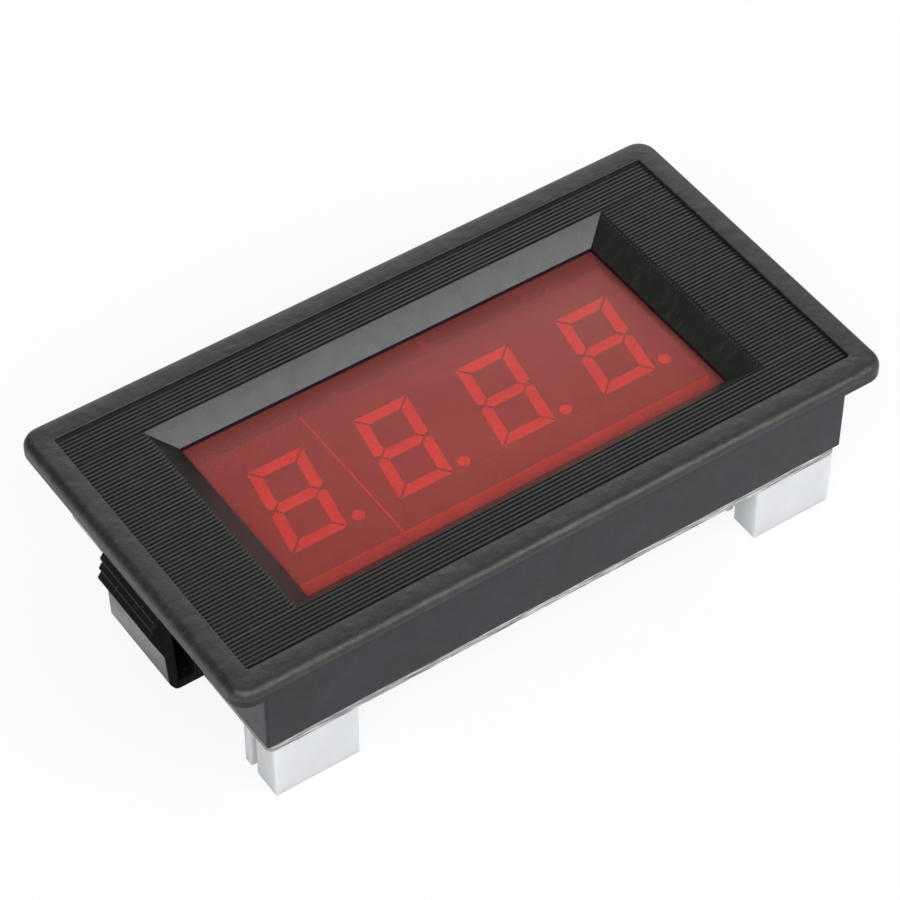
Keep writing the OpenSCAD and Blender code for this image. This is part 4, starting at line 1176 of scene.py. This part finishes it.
DRIVER_ROWS = (-4.445, -1.905, -0.635, 1.905, 4.445)
for side, column, driver in zip((-1, 1), RESISTORS_X, DRIVERS_X):
    # from the controller's pads fanned out to the resistors, and on to the driver
    lanes = zip(spread(5, 1, MODULE_Y - 0.25), spread(5, RESISTOR_PITCH, MODULE_Y), DRIVER_ROWS)
    for y0, y1, row in lanes:
        copper.append(slanted(CONTROLLER_X + side * 4.4, y0, column - side * 1.1, y1, 0.3))
        copper.append(slanted(column + side * 1.1, y1, driver - side * 3, MODULE_Y + row, 0.6))
for side in (-1, 1):
    pins_y = MODULE_Y + side * PIN_ROW / 2
    # from the controller to the pins of the three-digit module, the outer ones in the near lanes
    for i, x1 in enumerate(spread(TRIPLE_PINS, PIN_PITCH, TRIPLE_X)):
        x0 = CONTROLLER_X + i - 2.5 + (0.25 if i > 2 else -0.25)
        lane = MODULE_Y + side * (4.95 + 0.55 * min(i, 5 - i))
        copper.append(track([(x0, MODULE_Y + side * 4.4), (x0, lane), (x1, lane), (x1, pins_y)]))
    # from the one-digit module: two pins to the amplifier, and the middle one to a hole
    for x0, x1 in zip(spread(2, 2 * PIN_PITCH, SINGLE_X), spread(2, 5.5, SINGLE_X)):
        copper.append(track([
            (x0, pins_y), (x0, MODULE_Y + side * 4.4), (x1, MODULE_Y + side * 4), (x1, MODULE_Y + side * 1.9)
        ]))
    copper += to_hole([(SINGLE_X, pins_y), (SINGLE_X, MODULE_Y + side * 3.9)])
# the one-digit module's first pins are joined across
copper.append(track([(SINGLE_X - 2 * PIN_PITCH, y) for y in spread(2, PIN_ROW, MODULE_Y)], MEDIUM))
for i, (pin, (x0, y0)) in enumerate(zip((-1.5, 0.5, 1.5, 2.5), TRANSISTORS)):
    x1, lane = TRIPLE_X + pin * PIN_PITCH, -10.25 + 0.42 * i
    copper.append(track([(x0, y0 + 1.2), (x0, lane), (x1, lane), (x1, MODULE_Y - PIN_ROW / 2)], NARROW))
    # each base pad goes to a hole of its own
    copper += to_hole([(x0 - 0.95, y0 - 1.2), (x0 - 0.95, y0 - 2.4)])
# the supply: from the left header by the regulator's tab, round to the cans and the trimmer
BUS_Y = 10.1
SPINES_X = (-26.0, 25.7)
ring = [(-27.4, CONTACT_Y), (-27.4, -11.5), (SPINES_X[0], -10.1), (SPINES_X[0], BUS_Y)]
ring += [(SPINES_X[1], BUS_Y), (SPINES_X[1], -10.1), (27.4, -11.5), (27.4, CONTACT_Y)]
x, y = REGULATOR
x1, y1 = DIODE
emitters = [place[0] + 0.95 for place in TRANSISTORS]
copper += [
    track(ring, WIDE),
    track([(x, y + 3.3), (x, -9.6), (-12.35, -9.6), (-12.35, BUS_Y)], BROAD),
    track([(x + 2.3, y - 3.2), (-9.2, y - 3.2), (-9.2, y1), (x1 - 2.5, y1)], WIDE),
    track([(x1 + 2.5, y1), (1.3, y1), (1.3, -12.5), (-0.6, -12.5), (-0.6, -10.8)], WIDE),
    track([(x - 2.3, y - 3.2), (-21.5, y - 3.2), (-24.9, CONTACT_Y - 0.3)], WIDE),
    track([(emitters[0], -13.4), (emitters[0], -16.3), (24.5, -16.3)], BROAD),
    via(-0.9, -10.8), via(-0.1, -10.5),
]
copper += [track([(x, -13.4), (x, -16.3)], MEDIUM) for x in emitters[1:]]
for x in (-CAN_X - 1.25, CAN_X - 1.25, TRIMMER_X - PIN_PITCH):
    copper.append(track([(x, BUS_Y), (x, TALL_ROW_Y - 1.2)], BROAD))
copper += to_hole([(CRYSTAL_X + 5.2, BUS_Y), (CRYSTAL_X + 5.2, TALL_ROW_Y - 1.2)], BROAD)
for side, x, spine in zip((-1, 1), CAPACITORS_X, SPINES_X):
    for y in spread(3, CAPACITOR_PITCH, MODULE_Y):
        copper.append(track([(x - side, y), (spine, y)], MEDIUM))
        copper += to_hole([(x + side, y), (x + side * 2.6, y)], MEDIUM)
    # a short row of holes that tie the two sides' ground together
    copper += [via(side * 29.5, y) for y in spread(3, 1.3, 9.5)]
    copper.append(track([(side * 29.5, 8.2), (side * 29.5, 10.8)], WIDE))
for x in spread(2, CRYSTAL_PITCH, CRYSTAL_X):
    copper += to_hole([(x, TALL_ROW_Y), (x, 11.3)])
for x in DRIVERS_X:
    for side in (-1, 1):
        y0, y1 = MODULE_Y + side * 4.445, MODULE_Y + side * 6.2
        copper += to_hole([(x - 2.75, y0), (x - 2.75, y1), (x - 0.9, y1)])
# round pads of the plated holes round the display pins
rim = [(1.02, -SUNK), (1.02, PAD_H * 0.8), (0.98, PAD_H), (0.6, PAD_H)]
copper += [stand(lathed(rim, steps=28, finish=TINNED), p) for p in pin_places]
settle(solid("copper_tracks", copper), None, [masked_copper, solder_metal], smooth=40)

PRINT_W = 0.16
DOT_R = 0.3


def print_loop(points):
    return flat_line(points, PRINT_W, INK_H, True)


# outlines (x, y, width, depth) and the dots (x, y) by the first pins
boxes = [(x, MODULE_Y, 7.6, 11.2) for x in DRIVERS_X] + [(x, y, 3.7, 4.2) for x, y in TRANSISTORS]
boxes += [(AMPLIFIER_X, MODULE_Y, 7.6, 6.2), (CONTROLLER_X, MODULE_Y, 10.2, 10.2)]
boxes += [(*REGULATOR, 7.6, 8.6), (*DIODE, 7, 3.4)]
dots = [(x + 4.2, MODULE_Y - 4.445) for x in DRIVERS_X] + [(AMPLIFIER_X + 4.2, MODULE_Y - 1.905)]
dots += [(CONTROLLER_X + 5.5, MODULE_Y - 5.5), (TRIMMER_X + 4.3, TALL_ROW_Y - 3)]
dot = [(DOT_R, -SUNK), (DOT_R, INK_H), (DOT_R - 0.02, INK_H + 0.004)]
ink = [stand(lathed(dot, steps=20), place) for place in dots]
for x, y, w, d in boxes:
    ink.append(print_loop([(x + u, y + v) for u, v, _ in outline((w / 2, d / 2), 0, 0)]))
for x, rows in chip_columns:
    for y in rows:
        ink += [flat_line([(x - 0.35, v), (x + 0.35, v)], PRINT_W, INK_H) for v in spread(2, 1.84, y)]
x, y = DIODE
ink.append(flat_line([(x - 3.9, y - 1.7), (x - 3.9, y + 1.7)], 0.3, INK_H))
for side in (-1, 1):
    ink.append(print_loop(circle(3.45, 48, side * CAN_X, TALL_ROW_Y)))
    # the plus mark by each can
    x, y = side * CAN_X - 4.3, TALL_ROW_Y - 1.2
    ink.append(flat_line([(x - 0.5, y), (x + 0.5, y)], 0.18, INK_H))
    ink.append(flat_line([(x, y - 0.5), (x, y + 0.5)], 0.18, INK_H + 0.001))
ink.append(print_loop([
    (CRYSTAL_X + s * 3.4 + 2.55 * math.cos(math.radians(a)), TALL_ROW_Y + 2.55 * math.sin(math.radians(a)))
    for s, start in ((1, -90), (-1, 90)) for a in range(start, start + 181, 15)
]))
settle(solid("white_print", ink), None, [white_ink])


# ---- Floor and light ----
# A white paper sweep under the meter, a pale room, and three soft lights: one behind it that the
# bezel's upper edge mirrors, and two from the front that light the face and the walls.

FLOOR_HALF = 3
FLOOR_GLOW = 0.88
floor_z = cad_box[0][2]
sweep = bpy.data.meshes.new("studio_floor")
sweep.from_pydata(outline((FLOOR_HALF, FLOOR_HALF), floor_z, 0), [], [(0, 1, 2, 3)])
floor = placed("studio_floor", sweep)
paper = bpy.data.materials.new("white_paper")
tree = cleared(paper)
# the camera, gloss and glass see a nearly white floor; it still keeps the meter's shadow
ray = add_node(tree, "LightPath").outputs
seen = add_node(tree, "Math", {"operation": "ADD"}, {0: ray["Is Camera Ray"], 1: ray["Is Glossy Ray"]})
seen = add_node(
    tree, "Math", {"operation": "ADD", "use_clamp": True}, {0: seen, 1: ray["Is Transmission Ray"]}
)
part = add_node(tree, "Math", {"operation": "MULTIPLY", 1: FLOOR_GLOW}, {0: seen})
sheet = add_node(tree, "BsdfDiffuse", {"Color": linear("#f0f0f0")})
glow = add_node(tree, "Emission", {"Strength": 1.0})
mixed = add_node(tree, "MixShader", links={0: part, 1: sheet, 2: glow})
add_node(tree, "OutputMaterial", links={"Surface": mixed})
sweep.materials.append(paper)

world = bpy.data.worlds.new("studio")
bpy.context.scene.world = world
tree = cleared(world)
# the room is white but for one dark corner, which the right-hand slope of the window shows
place = add_node(tree, "TexCoord")
toward = add_node(tree, "VectorMath", {"operation": "DOT_PRODUCT", 1: (-0.599, 0.566, 0.565)}, {0: place})
strength = add_node(tree, "MapRange", {
    "interpolation_type": "SMOOTHSTEP", "From Min": 0.55, "From Max": 0.85, "To Min": 0.44, "To Max": 0.16,
}, {"Value": toward.outputs["Value"]})
sky = add_node(tree, "Background", {"Color": linear("#ffffff")}, {"Strength": strength})
add_node(tree, "OutputWorld", links={"Surface": sky})


def softbox(name, direction, distance, w, h, radiance):
    """A soft light that looks at the meter; its power follows from its brightness and size."""
    light = bpy.data.lights.new(name, "AREA")
    light.shape = "RECTANGLE"
    light.size, light.size_y = w, h
    light.energy = radiance * math.pi * w * h
    lamp = placed(name, light)
    way = Vector(direction).normalized()
    lamp.location = way * distance
    lamp.rotation_euler = way.to_track_quat("Z", "Y").to_euler()
    lamp.visible_camera = False


softbox("top_softbox", (0.42, 0.78, 0.46), 0.45, 0.4, 0.27, 1.35)
softbox("key_softbox", (0.396, -0.723, 0.566), 1.0, 0.6, 0.5, 4.5)
softbox("fill_softbox", (-0.5, -0.52, 0.69), 1.0, 0.9, 0.7, 3.6)

camera_data = bpy.data.cameras.new("camera")
camera_data.lens = 139.8
camera_data.sensor_width = 36
camera_data.clip_start = 0.01
camera = placed("camera", camera_data)
camera.location = (-0.14059, -0.20092, 0.25876)
camera.rotation_euler = [math.radians(a) for a in (42.811, -0.1387, -34.689)]
bpy.context.scene.camera = camera
bpy.context.scene.view_settings.view_transform = "Standard"
